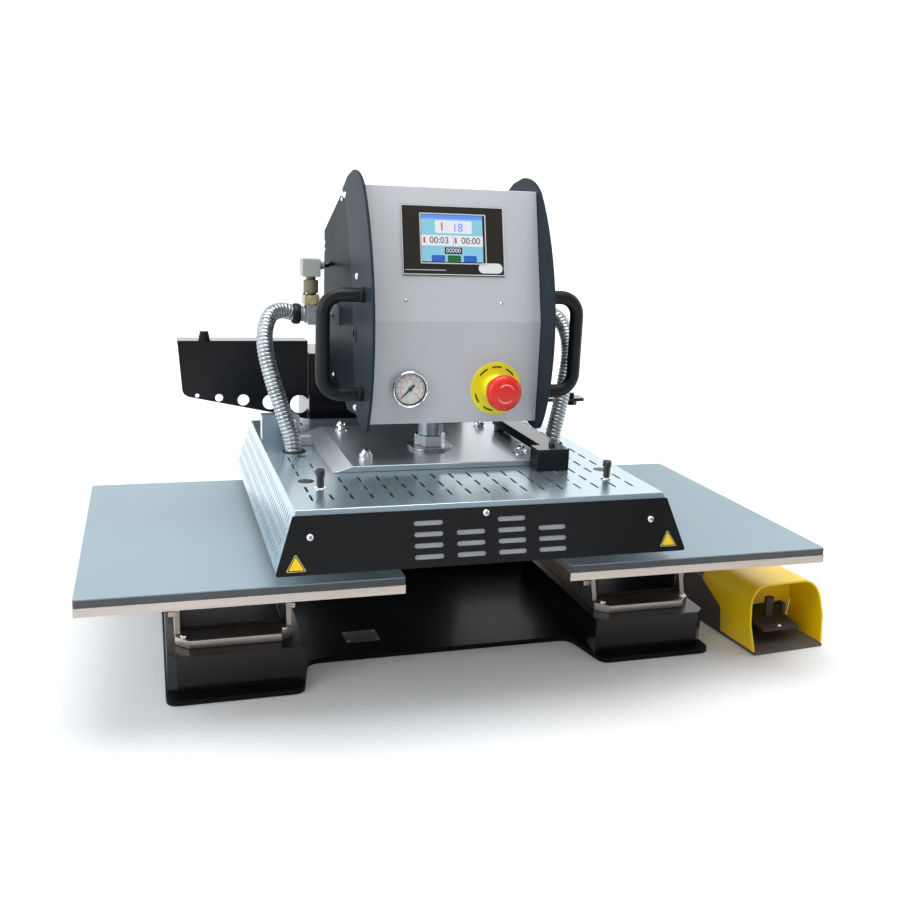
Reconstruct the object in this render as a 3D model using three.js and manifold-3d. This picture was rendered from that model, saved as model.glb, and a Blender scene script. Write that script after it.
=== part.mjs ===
// Pneumatic two-station heat press with a head that slides sideways from one lower plate to the other.
// Millimetres, +Z up, +X to the operator's right, +Y away from the operator.
// The origin is on the table, midway between the two lower plates' centres.
import * as THREE from "three";
import { mergeVertices } from "three/addons/utils/BufferGeometryUtils.js";
import Module from "manifold-3d";

const wasm = await Module();
wasm.setup();

// ---- driving dimensions ----
const GAP = 0.3; // clearance kept between pieces that touch

const PLATE_SIZE = { x: 400, y: 500 }; // working area of each lower plate
const STATION_X = 314; // lower plates' centres, either side of the middle
const PLATE_Z = 182; // underside of the lower plates
const PLATE_THICK = 12;
const PAD_THICK = 10.1;
const PAD_TOP = PLATE_Z + PLATE_THICK + GAP + PAD_THICK;

const BASE = { half: 412, front: -142, back: 452, thick: 8, corner: 18 };
const NOTCH = { foot: 226, inner: 208, back: -52 };
const LEG = { inner: 222, outer: 409, front: -122, back: 200, top: 62, wall: 3 };
const TRAY = { inner: 235, outer: 397, front: -100, back: 190, thick: 12 };

const RAIL = { half: 470, width: 20, tall: 22, front: 312, back: 410 };
const BED = { half: 482, front: 285, back: 438, top: 66, wall: 4 };

const HEAD_X = -11; // the head's centre line, where it stands between the stations
const CHEEK_THICK = 4;
const CHEEK_HALF = 124.5; // inner face of each cheek from the head's centre line
const PANEL = { front: -93.2, foldZ: 512, bottomZ: 370, topZ: 691, topY: -47, sheet: 2 };
const HOUSING = { sheet: 1.5, inset: 1.5, rearY: 249, rearBottomZ: 450, kinkZ: 622 };

const COVER = { topX: 247, topY: 262.5, flareX: 25, flareY: 21, topZ: 304.3, botZ: 231, sheet: 2 };
const HEATER = { z: 225.5, thick: 26, halfX: 200, halfY: 250 };
const ROD = { x: -18, r: 18.5, nutAcross: 41 };
const HANDLE = { r: 9.75, y: -80, reach: 65, lowZ: 411, highZ: 546, bend: 24 };
const HOSE_R = 12.5;

const FOOT = { x: 541, y: -164, turn: 0.075, length: 250, half: 67, bulge: 72, tall: 107 };

// ---- finishes ----
const paint = (color, roughness, metalness) =>
  new THREE.MeshStandardMaterial({ color, roughness, metalness });
const blackPaint = paint(0x17191c, 0.38, 0.3);
const slatePaint = paint(0x3d4850, 0.45, 0.4);
const panelPaint = paint(0xc5c8cc, 0.35, 0.6);
const aluminium = paint(0xb9b6b0, 0.35, 0.9);
const coverSilver = paint(0x9fb6c2, 0.4, 0.7);
const padRubber = paint(0x7b919d, 0.8, 0);
const galvanised = paint(0xa3adb2, 0.45, 0.8);
const steel = paint(0xb4b7ba, 0.3, 0.95);
const blackPlastic = paint(0x141516, 0.5, 0);
const redPlastic = paint(0xe8301f, 0.35, 0);
const yellowPlastic = paint(0xf5cf0a, 0.4, 0);
const greyPlastic = paint(0xb7b8b2, 0.5, 0);
const darkSteel = paint(0x4a4744, 0.45, 0.6);

// ---- solids ----
// A closed mesh geometry as a manifold solid.
function solid(geometry) {
  const g = geometry.clone();
  g.deleteAttribute("normal");
  g.deleteAttribute("uv");
  const merged = mergeVertices(g, 1e-3);
  return new wasm.Manifold(
    new wasm.Mesh({
      numProp: 3,
      vertProperties: merged.attributes.position.array,
      triVerts: new Uint32Array(merged.index.array),
    }),
  );
}

// A manifold solid as a mesh geometry.
function toGeometry(manifold) {
  const mesh = manifold.getMesh();
  const g = new THREE.BufferGeometry();
  g.setAttribute("position", new THREE.BufferAttribute(mesh.vertProperties, 3));
  g.setIndex(new THREE.BufferAttribute(mesh.triVerts, 1));
  return g;
}

const joined = (...pieces) => pieces.reduce((sum, piece) => sum.add(piece));
const cut = (body, ...holes) => holes.reduce((rest, hole) => rest.subtract(hole), body);

function boxGeometry(x, y, z) {
  const g = new THREE.BoxGeometry(x[1] - x[0], y[1] - y[0], z[1] - z[0]);
  return g.translate((x[0] + x[1]) / 2, (y[0] + y[1]) / 2, (z[0] + z[1]) / 2);
}
const box = (x, y, z) => solid(boxGeometry(x, y, z));

// A polygon whose corners are rounded: each corner is [x, y] or [x, y, radius].
function outline(corners, radius = 0) {
  const shape = new THREE.Shape();
  const count = corners.length;
  corners.forEach(([x, y, own], i) => {
    const r = own ?? radius;
    const here = new THREE.Vector2(x, y);
    const before = new THREE.Vector2(...corners[(i + count - 1) % count].slice(0, 2));
    const after = new THREE.Vector2(...corners[(i + 1) % count].slice(0, 2));
    if (r === 0) {
      if (i === 0) shape.moveTo(x, y);
      else shape.lineTo(x, y);
      return;
    }
    const into = before.clone().sub(here).normalize();
    const away = after.clone().sub(here).normalize();
    const half = Math.acos(into.dot(away)) / 2;
    const reach = r / Math.tan(half);
    const a = here.clone().addScaledVector(into, reach);
    const b = here.clone().addScaledVector(away, reach);
    if (i === 0) shape.moveTo(a.x, a.y);
    else shape.lineTo(a.x, a.y);
    shape.quadraticCurveTo(here.x, here.y, b.x, b.y);
  });
  shape.closePath();
  return shape;
}

function extrude(shape, depth, curveSegments = 4) {
  return new THREE.ExtrudeGeometry(shape, { depth, curveSegments, bevelEnabled: false });
}
// Outlines drawn in plan (X, Y), from the side (Y, Z) and from the front (X, Z).
const plan = (shape, z0, z1, seg) => solid(extrude(shape, z1 - z0, seg).translate(0, 0, z0));
const side = (shape, x0, x1, seg) =>
  solid(extrude(shape, x1 - x0, seg).rotateX(Math.PI / 2).rotateZ(Math.PI / 2).translate(x0, 0, 0));
const front = (shape, y0, y1, seg) =>
  solid(extrude(shape, y1 - y0, seg).rotateX(Math.PI / 2).translate(0, y1, 0));

// A round bar between two points on an axis: "x", "y" or "z".
function bar(axis, at, from, to, r, sides = 20) {
  const g = new THREE.CylinderGeometry(r, r, to - from, sides);
  if (axis === "z") g.rotateX(Math.PI / 2).translate(at[0], at[1], (from + to) / 2);
  if (axis === "x") g.rotateZ(Math.PI / 2).translate((from + to) / 2, at[0], at[1]);
  if (axis === "y") g.translate(at[0], (from + to) / 2, at[1]);
  return solid(g);
}
// A hexagon nut or bolt head, given its size across flats.
const hex = (axis, at, from, to, across) => bar(axis, at, from, to, across / Math.sqrt(3), 6);

// A block whose bottom and top are rectangles of different size.
function taper(x0, x1, y0, y1, z) {
  const [bottom, top] = [0, 1].map((i) => [
    [x0[i], y0[i], z[i]],
    [x1[i], y0[i], z[i]],
    [x1[i], y1[i], z[i]],
    [x0[i], y1[i], z[i]],
  ]);
  const g = new THREE.BufferGeometry();
  g.setAttribute("position", new THREE.Float32BufferAttribute([...bottom, ...top].flat(), 3));
  g.setIndex([0, 2, 1, 0, 3, 2, 4, 5, 6, 4, 6, 7, 0, 1, 5, 0, 5, 4, 1, 2, 6, 1, 6, 5,
    2, 3, 7, 2, 7, 6, 3, 0, 4, 3, 4, 7]);
  return solid(g);
}

// A round section of r with the given number of sides, swept along a curve.
function tube(curve, r, sides, steps) {
  const section = new THREE.Shape();
  for (let i = 0; i < sides; i += 1) {
    const a = (2 * Math.PI * i) / sides;
    if (i === 0) section.moveTo(r * Math.cos(a), r * Math.sin(a));
    else section.lineTo(r * Math.cos(a), r * Math.sin(a));
  }
  section.closePath();
  return solid(new THREE.ExtrudeGeometry(section, { steps, extrudePath: curve, bevelEnabled: false }));
}
const through = (points) => new THREE.CatmullRomCurve3(points.map((p) => new THREE.Vector3(...p)));

const press = new THREE.Group();
press.name = "heat_press";

function addTo(group, name, body, material) {
  const mesh = new THREE.Mesh(toGeometry(body), material);
  mesh.name = name;
  group.add(mesh);
  return mesh;
}
const add = (name, body, material) => addTo(press, name, body, material);

// ---- base, legs and lower plates ----
const baseShape = outline([
  [-BASE.half, BASE.front, BASE.corner],
  [-NOTCH.foot, BASE.front, BASE.corner],
  [-NOTCH.inner, NOTCH.back, 22],
  [NOTCH.inner, NOTCH.back, 22],
  [NOTCH.foot, BASE.front, BASE.corner],
  [BASE.half, BASE.front, BASE.corner],
  [BASE.half, BASE.back, BASE.corner],
  [-BASE.half, BASE.back, BASE.corner],
]);
add("base_plate", plan(baseShape, 0, BASE.thick), blackPaint);

// One folded steel leg, open underneath; dir is -1 on the left and 1 on the right.
function leg(dir) {
  const chamfer = 13;
  const shell = (inset, top) => {
    const corners = [
      [LEG.inner + inset, LEG.front + inset],
      [LEG.outer - chamfer - inset / 2, LEG.front + inset],
      [LEG.outer - inset, LEG.front + chamfer + inset / 2],
      [LEG.outer - inset, LEG.back - inset],
      [LEG.inner + inset, LEG.back - inset],
    ].map(([x, y]) => [dir * x, y]);
    return plan(outline(corners), BASE.thick + GAP - (inset ? 1 : 0), top);
  };
  const holes = [-40, 60].map((y) => bar("x", [y, 36], dir * LEG.outer - 12, dir * LEG.outer + 12, 5, 12));
  return cut(shell(0, LEG.top), shell(LEG.wall, LEG.top - LEG.wall), ...holes);
}

// The tray on a leg, with its front corners cut off.
function tray(dir) {
  const corner = 18;
  const corners = [
    [TRAY.inner + corner, TRAY.front],
    [TRAY.outer - corner, TRAY.front],
    [TRAY.outer, TRAY.front + corner],
    [TRAY.outer, TRAY.back],
    [TRAY.inner, TRAY.back],
    [TRAY.inner, TRAY.front + corner],
  ].map(([x, y]) => [dir * x, y]);
  const z = LEG.top + GAP;
  return plan(outline(corners), z, z + TRAY.thick);
}

// A side bracket between tray and plate, with a sloping front edge and two bolt heads.
function sideBracket(x, dir, outward) {
  const thick = 7;
  const low = LEG.top + TRAY.thick + 2 * GAP;
  const high = PLATE_Z - GAP;
  const x0 = Math.min(dir * x, dir * (x + outward * thick));
  const plate = side(outline([[-74, low], [150, low], [150, high], [-38, high]]), x0, x0 + thick);
  const face = dir * (x + outward * thick);
  const sign = Math.sign(dir * outward);
  const bolts = [[-48, 96], [90, 96]].map((at) => {
    const ends = [face - sign * 2, face + sign * 8].sort((a, b) => a - b);
    return hex("x", at, ends[0], ends[1], 13);
  });
  return joined(plate, ...bolts);
}

// The support under a plate: two box sections, open at front and back, the lower one wider.
function post(dir) {
  const low = LEG.top + TRAY.thick + 2 * GAP;
  const middle = 128;
  const high = PLATE_Z - GAP;
  const span = (a, b) => [dir * a, dir * b].sort((p, q) => p - q);
  const wall = 6;
  const level = (inset, y0, z0, z1) => cut(
    box(span(TRAY.inner + inset, TRAY.outer - inset), [y0, 150], [z0, z1]),
    box(span(TRAY.inner + inset + wall, TRAY.outer - inset - wall), [y0 - 1, 151], [z0 + wall, z1 - wall]),
  );
  return joined(level(8, -62, low, middle), level(14, -40, middle - 1, high));
}

[["left", -1], ["right", 1]].forEach(([name, dir]) => {
  add(`${name}_leg`, leg(dir), blackPaint);
  add(`${name}_tray`, tray(dir), aluminium);
  add(`${name}_inner_bracket`, sideBracket(TRAY.inner + 7.5, dir, -1), aluminium);
  add(`${name}_outer_bracket`, sideBracket(TRAY.outer - 7.5, dir, 1), aluminium);
  add(`${name}_post`, post(dir), blackPaint);
  const x = [dir * STATION_X - PLATE_SIZE.x / 2, dir * STATION_X + PLATE_SIZE.x / 2];
  const y = [-PLATE_SIZE.y / 2, PLATE_SIZE.y / 2];
  const padZ = PLATE_Z + PLATE_THICK + GAP;
  add(`${name}_lower_plate`, box(x, y, [PLATE_Z, PLATE_Z + PLATE_THICK]), aluminium);
  add(`${name}_pad`, box(x, y, [padZ, PAD_TOP]), padRubber);
});

// ---- slide bed and rails across the back ----
const bedTube = cut(
  box([-BED.half, BED.half], [BED.front, BED.back], [BASE.thick + GAP, BED.top]),
  box([-BED.half - 1, BED.half + 1], [BED.front + BED.wall, BED.back - BED.wall],
    [BASE.thick + GAP + BED.wall, BED.top - BED.wall]),
);
const endStops = [-1, 1].map((dir) => {
  const x = [dir * (RAIL.half + 1), dir * BED.half].sort((a, b) => a - b);
  return box(x, [BED.front + 30, BED.back - 30], [BED.top - 1, BED.top + 44]);
});
add("slide_bed", joined(bedTube, ...endStops), blackPaint);

const railTop = BED.top + GAP + RAIL.tall;
const railY = { front: RAIL.front, back: RAIL.back };
Object.entries(railY).forEach(([name, y]) => {
  const half = RAIL.width / 2;
  const z = BED.top + GAP;
  const profile = outline([
    [y - half, z],
    [y + half, z],
    [y + half, z + 9],
    [y + half - 3, z + 12],
    [y + half, z + 15],
    [y + half, railTop],
    [y - half, railTop],
    [y - half, z + 15],
    [y - half + 3, z + 12],
    [y - half, z + 9],
  ]);
  add(`${name}_rail`, side(profile, -RAIL.half, RAIL.half), steel);
});

// ---- carriage: bearing blocks, plate and column ----
const carriage = new THREE.Group();
press.add(carriage);
const ride = (name, body, material) => addTo(carriage, name, body, material);

const blockTop = railTop + 11;
Object.entries(railY).forEach(([name, y]) => {
  [["left", -1], ["right", 1]].forEach(([hand, dir]) => {
    const x = [HEAD_X + dir * 80, HEAD_X + dir * 140].sort((a, b) => a - b);
    const body = box(x, [y - 23, y + 23], [BED.top + 5, blockTop]);
    const slot = box([x[0] - 1, x[1] + 1], [y - 10.5, y + 10.5], [BED.top, railTop + 0.5]);
    ride(`${name}_${hand}_bearing`, cut(body, slot), steel);
  });
});
const deckZ = [blockTop + GAP, blockTop + GAP + 14];
ride("carriage_plate", box([HEAD_X - 145, HEAD_X + 145], [286, 436], deckZ), blackPaint);

const COLUMN = { x: [-153, 131], y: [303, 432], top: 411, wall: 5 };
const columnZ = [deckZ[1] + GAP, COLUMN.top];
ride("column", cut(
  box(COLUMN.x, COLUMN.y, columnZ),
  box([COLUMN.x[0] + COLUMN.wall, COLUMN.x[1] - COLUMN.wall],
    [COLUMN.y[0] + COLUMN.wall, COLUMN.y[1] - COLUMN.wall], [columnZ[0] - 1, COLUMN.top - COLUMN.wall]),
), blackPaint);

// The side arm is a folded web with a flange along its top, lightened by holes that grow
// towards the column, and carries a stud with a domed nut near its tip.
const ARM = { y: 320, sheet: 4, tip: -373, top: 431, flange: 46, fold: 6 };
const armRoot = COLUMN.x[0] - GAP;
const webShape = outline([
  [ARM.tip, ARM.top],
  [ARM.tip + 7, 337, 16],
  [armRoot, 292],
  [armRoot, ARM.top],
]);
const armHoles = Array.from({ length: 5 }, (_, i) => {
  const along = ARM.tip + 31 + 34 * i + 2.4 * i * i;
  return bar("y", [along, 337 - 4.5 * i], ARM.y - 5, ARM.y + 10, 3.5 + 3.2 * i, 24);
});
const stud = joined(
  bar("z", [-328, ARM.y + 14], ARM.top - 2, ARM.top + 1.6, 10.5),
  hex("z", [-328, ARM.y + 14], ARM.top + 1, ARM.top + 9, 17),
  bar("z", [-328, ARM.y + 14], ARM.top + 8, ARM.top + 15, 7.6),
);
ride("side_arm", joined(
  cut(front(webShape, ARM.y, ARM.y + ARM.sheet), ...armHoles),
  box([ARM.tip, armRoot], [ARM.y, ARM.y + ARM.flange], [ARM.top - ARM.sheet, ARM.top]),
  stud,
), blackPaint);

// The stop bracket on the right: a flat tongue with a bolt whose head hangs below it.
const BRACKET = { tip: 373, y: [303, 338], z: [318, 324], bolt: 352 };
ride("stop_bracket", joined(
  plan(outline([
    [COLUMN.x[1] + GAP, BRACKET.y[0]],
    [BRACKET.tip, BRACKET.y[0], 8],
    [BRACKET.tip, BRACKET.y[1], 8],
    [COLUMN.x[1] + GAP, BRACKET.y[1] + 70],
  ]), ...BRACKET.z),
  hex("z", [BRACKET.bolt, 320], BRACKET.z[0] - 9, BRACKET.z[0] + 1, 18),
  bar("z", [BRACKET.bolt, 320], BRACKET.z[0] - 1.8, BRACKET.z[0] + 1, 12),
  bar("z", [BRACKET.bolt, 320], BRACKET.z[1] - 1, BRACKET.z[1] + 8, 5, 12),
), blackPaint);

// ---- head frame and press cylinder ----
const BEAM = { z: [455, 515], front: -70, half: 70, wall: 8 };
ride("head_frame", joined(
  cut(
    box([HEAD_X - BEAM.half, HEAD_X + BEAM.half], [BEAM.front, COLUMN.y[1]], BEAM.z),
    box([HEAD_X - BEAM.half + BEAM.wall, HEAD_X + BEAM.half - BEAM.wall], [BEAM.front - 1, COLUMN.y[1] + 1],
      [BEAM.z[0] + BEAM.wall, BEAM.z[1] - BEAM.wall]),
  ),
  cut(
    box([HEAD_X - BEAM.half, HEAD_X + BEAM.half], COLUMN.y, [COLUMN.top + GAP, BEAM.z[0] + 1]),
    box([HEAD_X - BEAM.half + BEAM.wall, HEAD_X + BEAM.half - BEAM.wall],
      [COLUMN.y[0] + BEAM.wall, COLUMN.y[1] - BEAM.wall], [COLUMN.top - 1, BEAM.z[0] + 2]),
  ),
  ...[-1, 1].map((dir) => {
    const x = [HEAD_X + dir * (BEAM.half - 1), HEAD_X + dir * (CHEEK_HALF - GAP)].sort((a, b) => a - b);
    return box(x, [-40, -28], BEAM.z);
  }),
), darkSteel);

const cylinderZ = [376, BEAM.z[0] - GAP];
ride("press_cylinder", cut(
  joined(
    bar("z", [ROD.x, 0], cylinderZ[0], cylinderZ[1], 62, 32),
    box([ROD.x - 66, ROD.x + 66], [-66, 66], [cylinderZ[1] - 12, cylinderZ[1]]),
  ),
  bar("z", [ROD.x, 0], cylinderZ[0] - 1, cylinderZ[1] - 14, ROD.r + 0.6, 32),
), aluminium);

// ---- cheeks, front panel and rear housing ----
// The cheek's front edge is one long bow; its rear edge is the seam with the housing.
const cheekShape = new THREE.Shape();
cheekShape.moveTo(-106, 362);
cheekShape.bezierCurveTo(-127, 384, -141, 440, -139, 494);
cheekShape.bezierCurveTo(-138, 560, -105, 640, -59, 690);
cheekShape.bezierCurveTo(-36, 708, -8, 712, 14, 711);
cheekShape.lineTo(51, 704);
cheekShape.lineTo(92, 685);
cheekShape.lineTo(73, 676);
cheekShape.bezierCurveTo(30, 625, 6, 570, -8, 495);
cheekShape.bezierCurveTo(-12, 450, -24, 415, -40, 375);
cheekShape.bezierCurveTo(-58, 356, -88, 354, -106, 362);
[["left", -1], ["right", 1]].forEach(([name, dir]) => {
  const x = [HEAD_X + dir * CHEEK_HALF, HEAD_X + dir * (CHEEK_HALF + CHEEK_THICK)].sort((a, b) => a - b);
  const port = bar("x", [-22, 485], x[0] - 1, x[1] + 1, 10, 16);
  ride(`${name}_cheek`, cut(side(cheekShape, x[0], x[1], 10), port), slatePaint);
});

const slope = Math.atan((PANEL.topY - PANEL.front) / (PANEL.topZ - PANEL.foldZ));
const s = PANEL.sheet;
const panelShape = outline([
  [PANEL.front + 22, PANEL.bottomZ],
  [PANEL.front, PANEL.bottomZ],
  [PANEL.front, PANEL.foldZ],
  [PANEL.topY, PANEL.topZ],
  [62, 681],
  [62, 681 - s],
  [PANEL.topY + s, PANEL.topZ - s],
  [PANEL.front + s, PANEL.foldZ - s / 4],
  [PANEL.front + s, PANEL.bottomZ + s],
  [PANEL.front + 22, PANEL.bottomZ + s],
]);
const panelX = [HEAD_X - CHEEK_HALF + GAP, HEAD_X + CHEEK_HALF - GAP];
const GAUGE = { x: -77, z: 420, bezel: 26, neck: 22 };
const ESTOP = { x: 50, z: 418, plate: 37.5, neck: 11 };
const SCREEN = { x: [-61, 33], z: [589, 657], bezelX: [-86, 61], bezelZ: [573, 667] };

// Pieces on the sloping upper panel are built upright at y = 0 and then leaned back.
function leanedBox(x, y, z) {
  const g = boxGeometry(x, y, [(z[0] - PANEL.foldZ) / Math.cos(slope), (z[1] - PANEL.foldZ) / Math.cos(slope)]);
  return solid(g.rotateX(-slope).translate(0, PANEL.front, PANEL.foldZ));
}
ride("front_panel", cut(
  side(panelShape, panelX[0], panelX[1]),
  leanedBox(SCREEN.x, [-10, 10], SCREEN.z),
  bar("y", [GAUGE.x, GAUGE.z], PANEL.front - 5, PANEL.front + 5, GAUGE.neck + 0.5, 28),
  bar("y", [ESTOP.x, ESTOP.z], PANEL.front - 5, PANEL.front + 5, ESTOP.neck + 0.5, 20),
), panelPaint);

// The control unit: a bezel over the panel, and its case behind with the screen recessed in the front.
ride("control_unit", cut(
  joined(
    leanedBox(SCREEN.bezelX, [-1.6, -GAP], SCREEN.bezelZ),
    leanedBox([SCREEN.x[0] + 0.5, SCREEN.x[1] - 0.5], [-1, 34], [SCREEN.z[0] + 0.5, SCREEN.z[1] - 0.5]),
  ),
  leanedBox([SCREEN.x[0] + 3, SCREEN.x[1] - 3], [-4, 0.4], [SCREEN.z[0] + 3, SCREEN.z[1] - 3]),
), blackPlastic);

// The rear housing is a bent sheet: two sides, a sloping top and a back, open underneath.
function housingSide(grow) {
  const shape = new THREE.Shape();
  shape.moveTo(-38 - grow, 372 - grow);
  shape.bezierCurveTo(-22, 415, -10, 450, -5 - grow, 495);
  shape.bezierCurveTo(9, 570, 33, 625, 76 - grow, 674);
  shape.lineTo(112, 676 + grow);
  shape.lineTo(HOUSING.rearY + grow, HOUSING.kinkZ + grow);
  shape.lineTo(HOUSING.rearY + grow, HOUSING.rearBottomZ - grow);
  shape.lineTo(30, 366 - grow);
  shape.closePath();
  return shape;
}
const sideOut = CHEEK_HALF + CHEEK_THICK - HOUSING.inset;
const housingX = [HEAD_X - sideOut, HEAD_X + sideOut];
const hollow = new THREE.Shape();
hollow.moveTo(-90, 340);
hollow.lineTo(-90, 700);
hollow.lineTo(70, 676 - HOUSING.sheet);
hollow.lineTo(112, 676 - HOUSING.sheet);
hollow.lineTo(HOUSING.rearY - HOUSING.sheet, HOUSING.kinkZ - HOUSING.sheet);
hollow.lineTo(HOUSING.rearY - HOUSING.sheet, 340);
hollow.closePath();
const PORT = { y: 126, z: 498 };
ride("rear_housing", cut(
  side(housingSide(0), housingX[0], housingX[1], 8),
  side(hollow, housingX[0] + HOUSING.sheet, housingX[1] - HOUSING.sheet),
  box([HEAD_X - 72, HEAD_X + 72], [HOUSING.rearY - 5, HOUSING.rearY + 5], [430, BEAM.z[1] + 2]),
  box([HEAD_X + 86, HEAD_X + 108], [HOUSING.rearY - 5, HOUSING.rearY + 5], [556, 586]),
  bar("x", [172, 572], housingX[0] - 2, housingX[0] + 4, 5, 12),
), slatePaint);

// ---- handles ----
[["left", -1], ["right", 1]].forEach(([name, dir]) => {
  const root = HEAD_X + dir * (CHEEK_HALF + CHEEK_THICK + GAP);
  const reach = root + dir * (HANDLE.reach - HANDLE.r);
  const path = new THREE.CurvePath();
  const at = (x, z) => new THREE.Vector3(x, HANDLE.y, z);
  const b = HANDLE.bend;
  const { lowZ, highZ } = HANDLE;
  path.add(new THREE.LineCurve3(at(root, highZ), at(reach - dir * b, highZ)));
  path.add(new THREE.QuadraticBezierCurve3(at(reach - dir * b, highZ), at(reach, highZ), at(reach, highZ - b)));
  path.add(new THREE.LineCurve3(at(reach, highZ - b), at(reach, lowZ + b)));
  path.add(new THREE.QuadraticBezierCurve3(at(reach, lowZ + b), at(reach, lowZ), at(reach - dir * b, lowZ)));
  path.add(new THREE.LineCurve3(at(reach - dir * b, lowZ), at(root, lowZ)));
  ride(`${name}_handle`, tube(path, HANDLE.r, 12, 36), blackPlastic);
});

// ---- pressure gauge ----
const gaugeProfile = [
  [0, 20], [GAUGE.neck, 20], [GAUGE.neck, 0.6], [GAUGE.bezel, 0.6], [GAUGE.bezel, -9], [24, -12],
  [22.6, -12], [22.6, -5], [0, -5],
].map(([r, y]) => new THREE.Vector2(r, y));
const gaugeLathe = new THREE.LatheGeometry(gaugeProfile.reverse(), 32).translate(GAUGE.x, PANEL.front - 1, GAUGE.z);
ride("gauge_body", solid(gaugeLathe), steel);
const needleY = PANEL.front - 9.2;
const needleTurn = new THREE.Matrix4().makeRotationY((-3 * Math.PI) / 4);
const needleGeometry = extrude(outline([[-1.6, -9], [1.6, -9], [0.5, 17], [-0.5, 17]]), 0.8)
  .rotateX(Math.PI / 2)
  .translate(0, 0.8, 0);
const needle = joined(
  solid(needleGeometry),
  solid(new THREE.CylinderGeometry(3, 3, 2.4, 16)),
);
const needleMesh = addTo(press, "gauge_needle", needle, blackPlastic);
needleMesh.applyMatrix4(needleTurn);
needleMesh.position.set(GAUGE.x, needleY, GAUGE.z);

// ---- emergency stop ----
ride("estop_plate", cut(
  bar("y", [ESTOP.x, ESTOP.z], PANEL.front - 1.8, PANEL.front - GAP, ESTOP.plate, 40),
  bar("y", [ESTOP.x, ESTOP.z], PANEL.front - 5, PANEL.front + 5, ESTOP.neck + 0.5, 20),
), yellowPlastic);
ride("estop_body", cut(
  joined(
    bar("y", [ESTOP.x, ESTOP.z], PANEL.front - 14, PANEL.front - 2.1, 17, 24),
    bar("y", [ESTOP.x, ESTOP.z], PANEL.front - 3, PANEL.front + 20, ESTOP.neck, 20),
    box([ESTOP.x - 20, ESTOP.x + 20], [PANEL.front + 12, PANEL.front + 52], [ESTOP.z - 20, ESTOP.z + 20]),
  ),
  bar("y", [ESTOP.x, ESTOP.z], PANEL.front - 20, PANEL.front + 30, 7, 20),
), blackPlastic);
add("estop_stem", bar("y", [ESTOP.x, ESTOP.z], PANEL.front - 22, PANEL.front + 18, 6, 20), blackPlastic);
const capProfile = [
  [0, -46], [10, -45.4], [19, -42.5], [24.2, -37], [25, -31], [23, -26], [15, -22.3], [0, -22.3],
].map(([r, y]) => new THREE.Vector2(r, y));
add("estop_cap",
  solid(new THREE.LatheGeometry(capProfile, 32).translate(ESTOP.x, PANEL.front, ESTOP.z)), redPlastic);

// ---- mains switch in the back of the housing ----
add("mains_switch", side(outline([
  [HOUSING.rearY + 4, 561], [HOUSING.rearY + 1.5, 571], [HOUSING.rearY + 4, 581],
  [HOUSING.rearY - 9, 580], [HOUSING.rearY - 12, 571], [HOUSING.rearY - 9, 562],
]), HEAD_X + 88, HEAD_X + 106), blackPlastic);

// ---- hose rails, valve and flexible conduits ----
[["left", -1], ["right", 1]].forEach(([name, dir]) => {
  const x = [HEAD_X + dir * (sideOut + GAP), HEAD_X + dir * (sideOut + 49)].sort((a, b) => a - b);
  const body = box(x, [102, 150], [484, 513]);
  const mouth = HEAD_X + dir * (sideOut + 49);
  const ends = [mouth - dir * 20, mouth + dir * 5].sort((a, b) => a - b);
  ride(`${name}_hose_rail`, cut(body, bar("x", [PORT.y, PORT.z], ends[0], ends[1], HOSE_R + 1.3, 16)), galvanised);
});
const VALVE = { x: -179, y: 126, base: 513 + GAP, body: 41.7, plug: 27 };
const valveTop = VALVE.base + VALVE.body;
ride("air_valve", joined(
  box([VALVE.x - 11, VALVE.x + 11], [VALVE.y - 15, VALVE.y + 15], [VALVE.base, VALVE.base + 14]),
  bar("z", [VALVE.x, VALVE.y], VALVE.base + 13, valveTop, 11.5, 20),
), greyPlastic);
ride("valve_plug", joined(
  box([VALVE.x - 15, VALVE.x + 13], [VALVE.y - 14, VALVE.y + 14], [valveTop + GAP, valveTop + GAP + VALVE.plug]),
  bar("x", [VALVE.y, valveTop + 17], VALVE.x + 12, VALVE.x + 20, 6, 16),
), greyPlastic);
ride("valve_lead", tube(through([
  [VALVE.x + 20.7, VALVE.y, valveTop + 17],
  [VALVE.x + 25, VALVE.y, valveTop + 17],
  [VALVE.x + 30, VALVE.y + 16, valveTop + 17],
  [housingX[0] - 6, 170, 572],
  [housingX[0] - 1, 172, 572],
  [housingX[0] + 5, 172, 572],
]), 3, 8, 20), blackPlastic);

// Each conduit leaves a hole in the heater's cover, bows outwards and turns into its rail.
const conduitRoute = [
  [-206, 34, 297], [-209, 36, 322], [-219, 44, 356], [-232, 58, 400], [-242, 72, 444],
  [-242, 88, 476], [-232, 104, 498], [-214, 118, 504], [-195, 125, 500], [-166, 126, 498],
];
[["left", 1], ["right", -1]].forEach(([name, dir]) => {
  const route = conduitRoute.map(([x, y, z]) => [HEAD_X + dir * x, y, z]);
  ride(`${name}_conduit`, tube(through(route), HOSE_R, 10, 44), galvanised);
});

// ---- heater: cover, front plate, platen and lifting rod ----
const heater = new THREE.Group();
press.add(heater);
const lift = (name, body, material) => addTo(heater, name, body, material);

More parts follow.
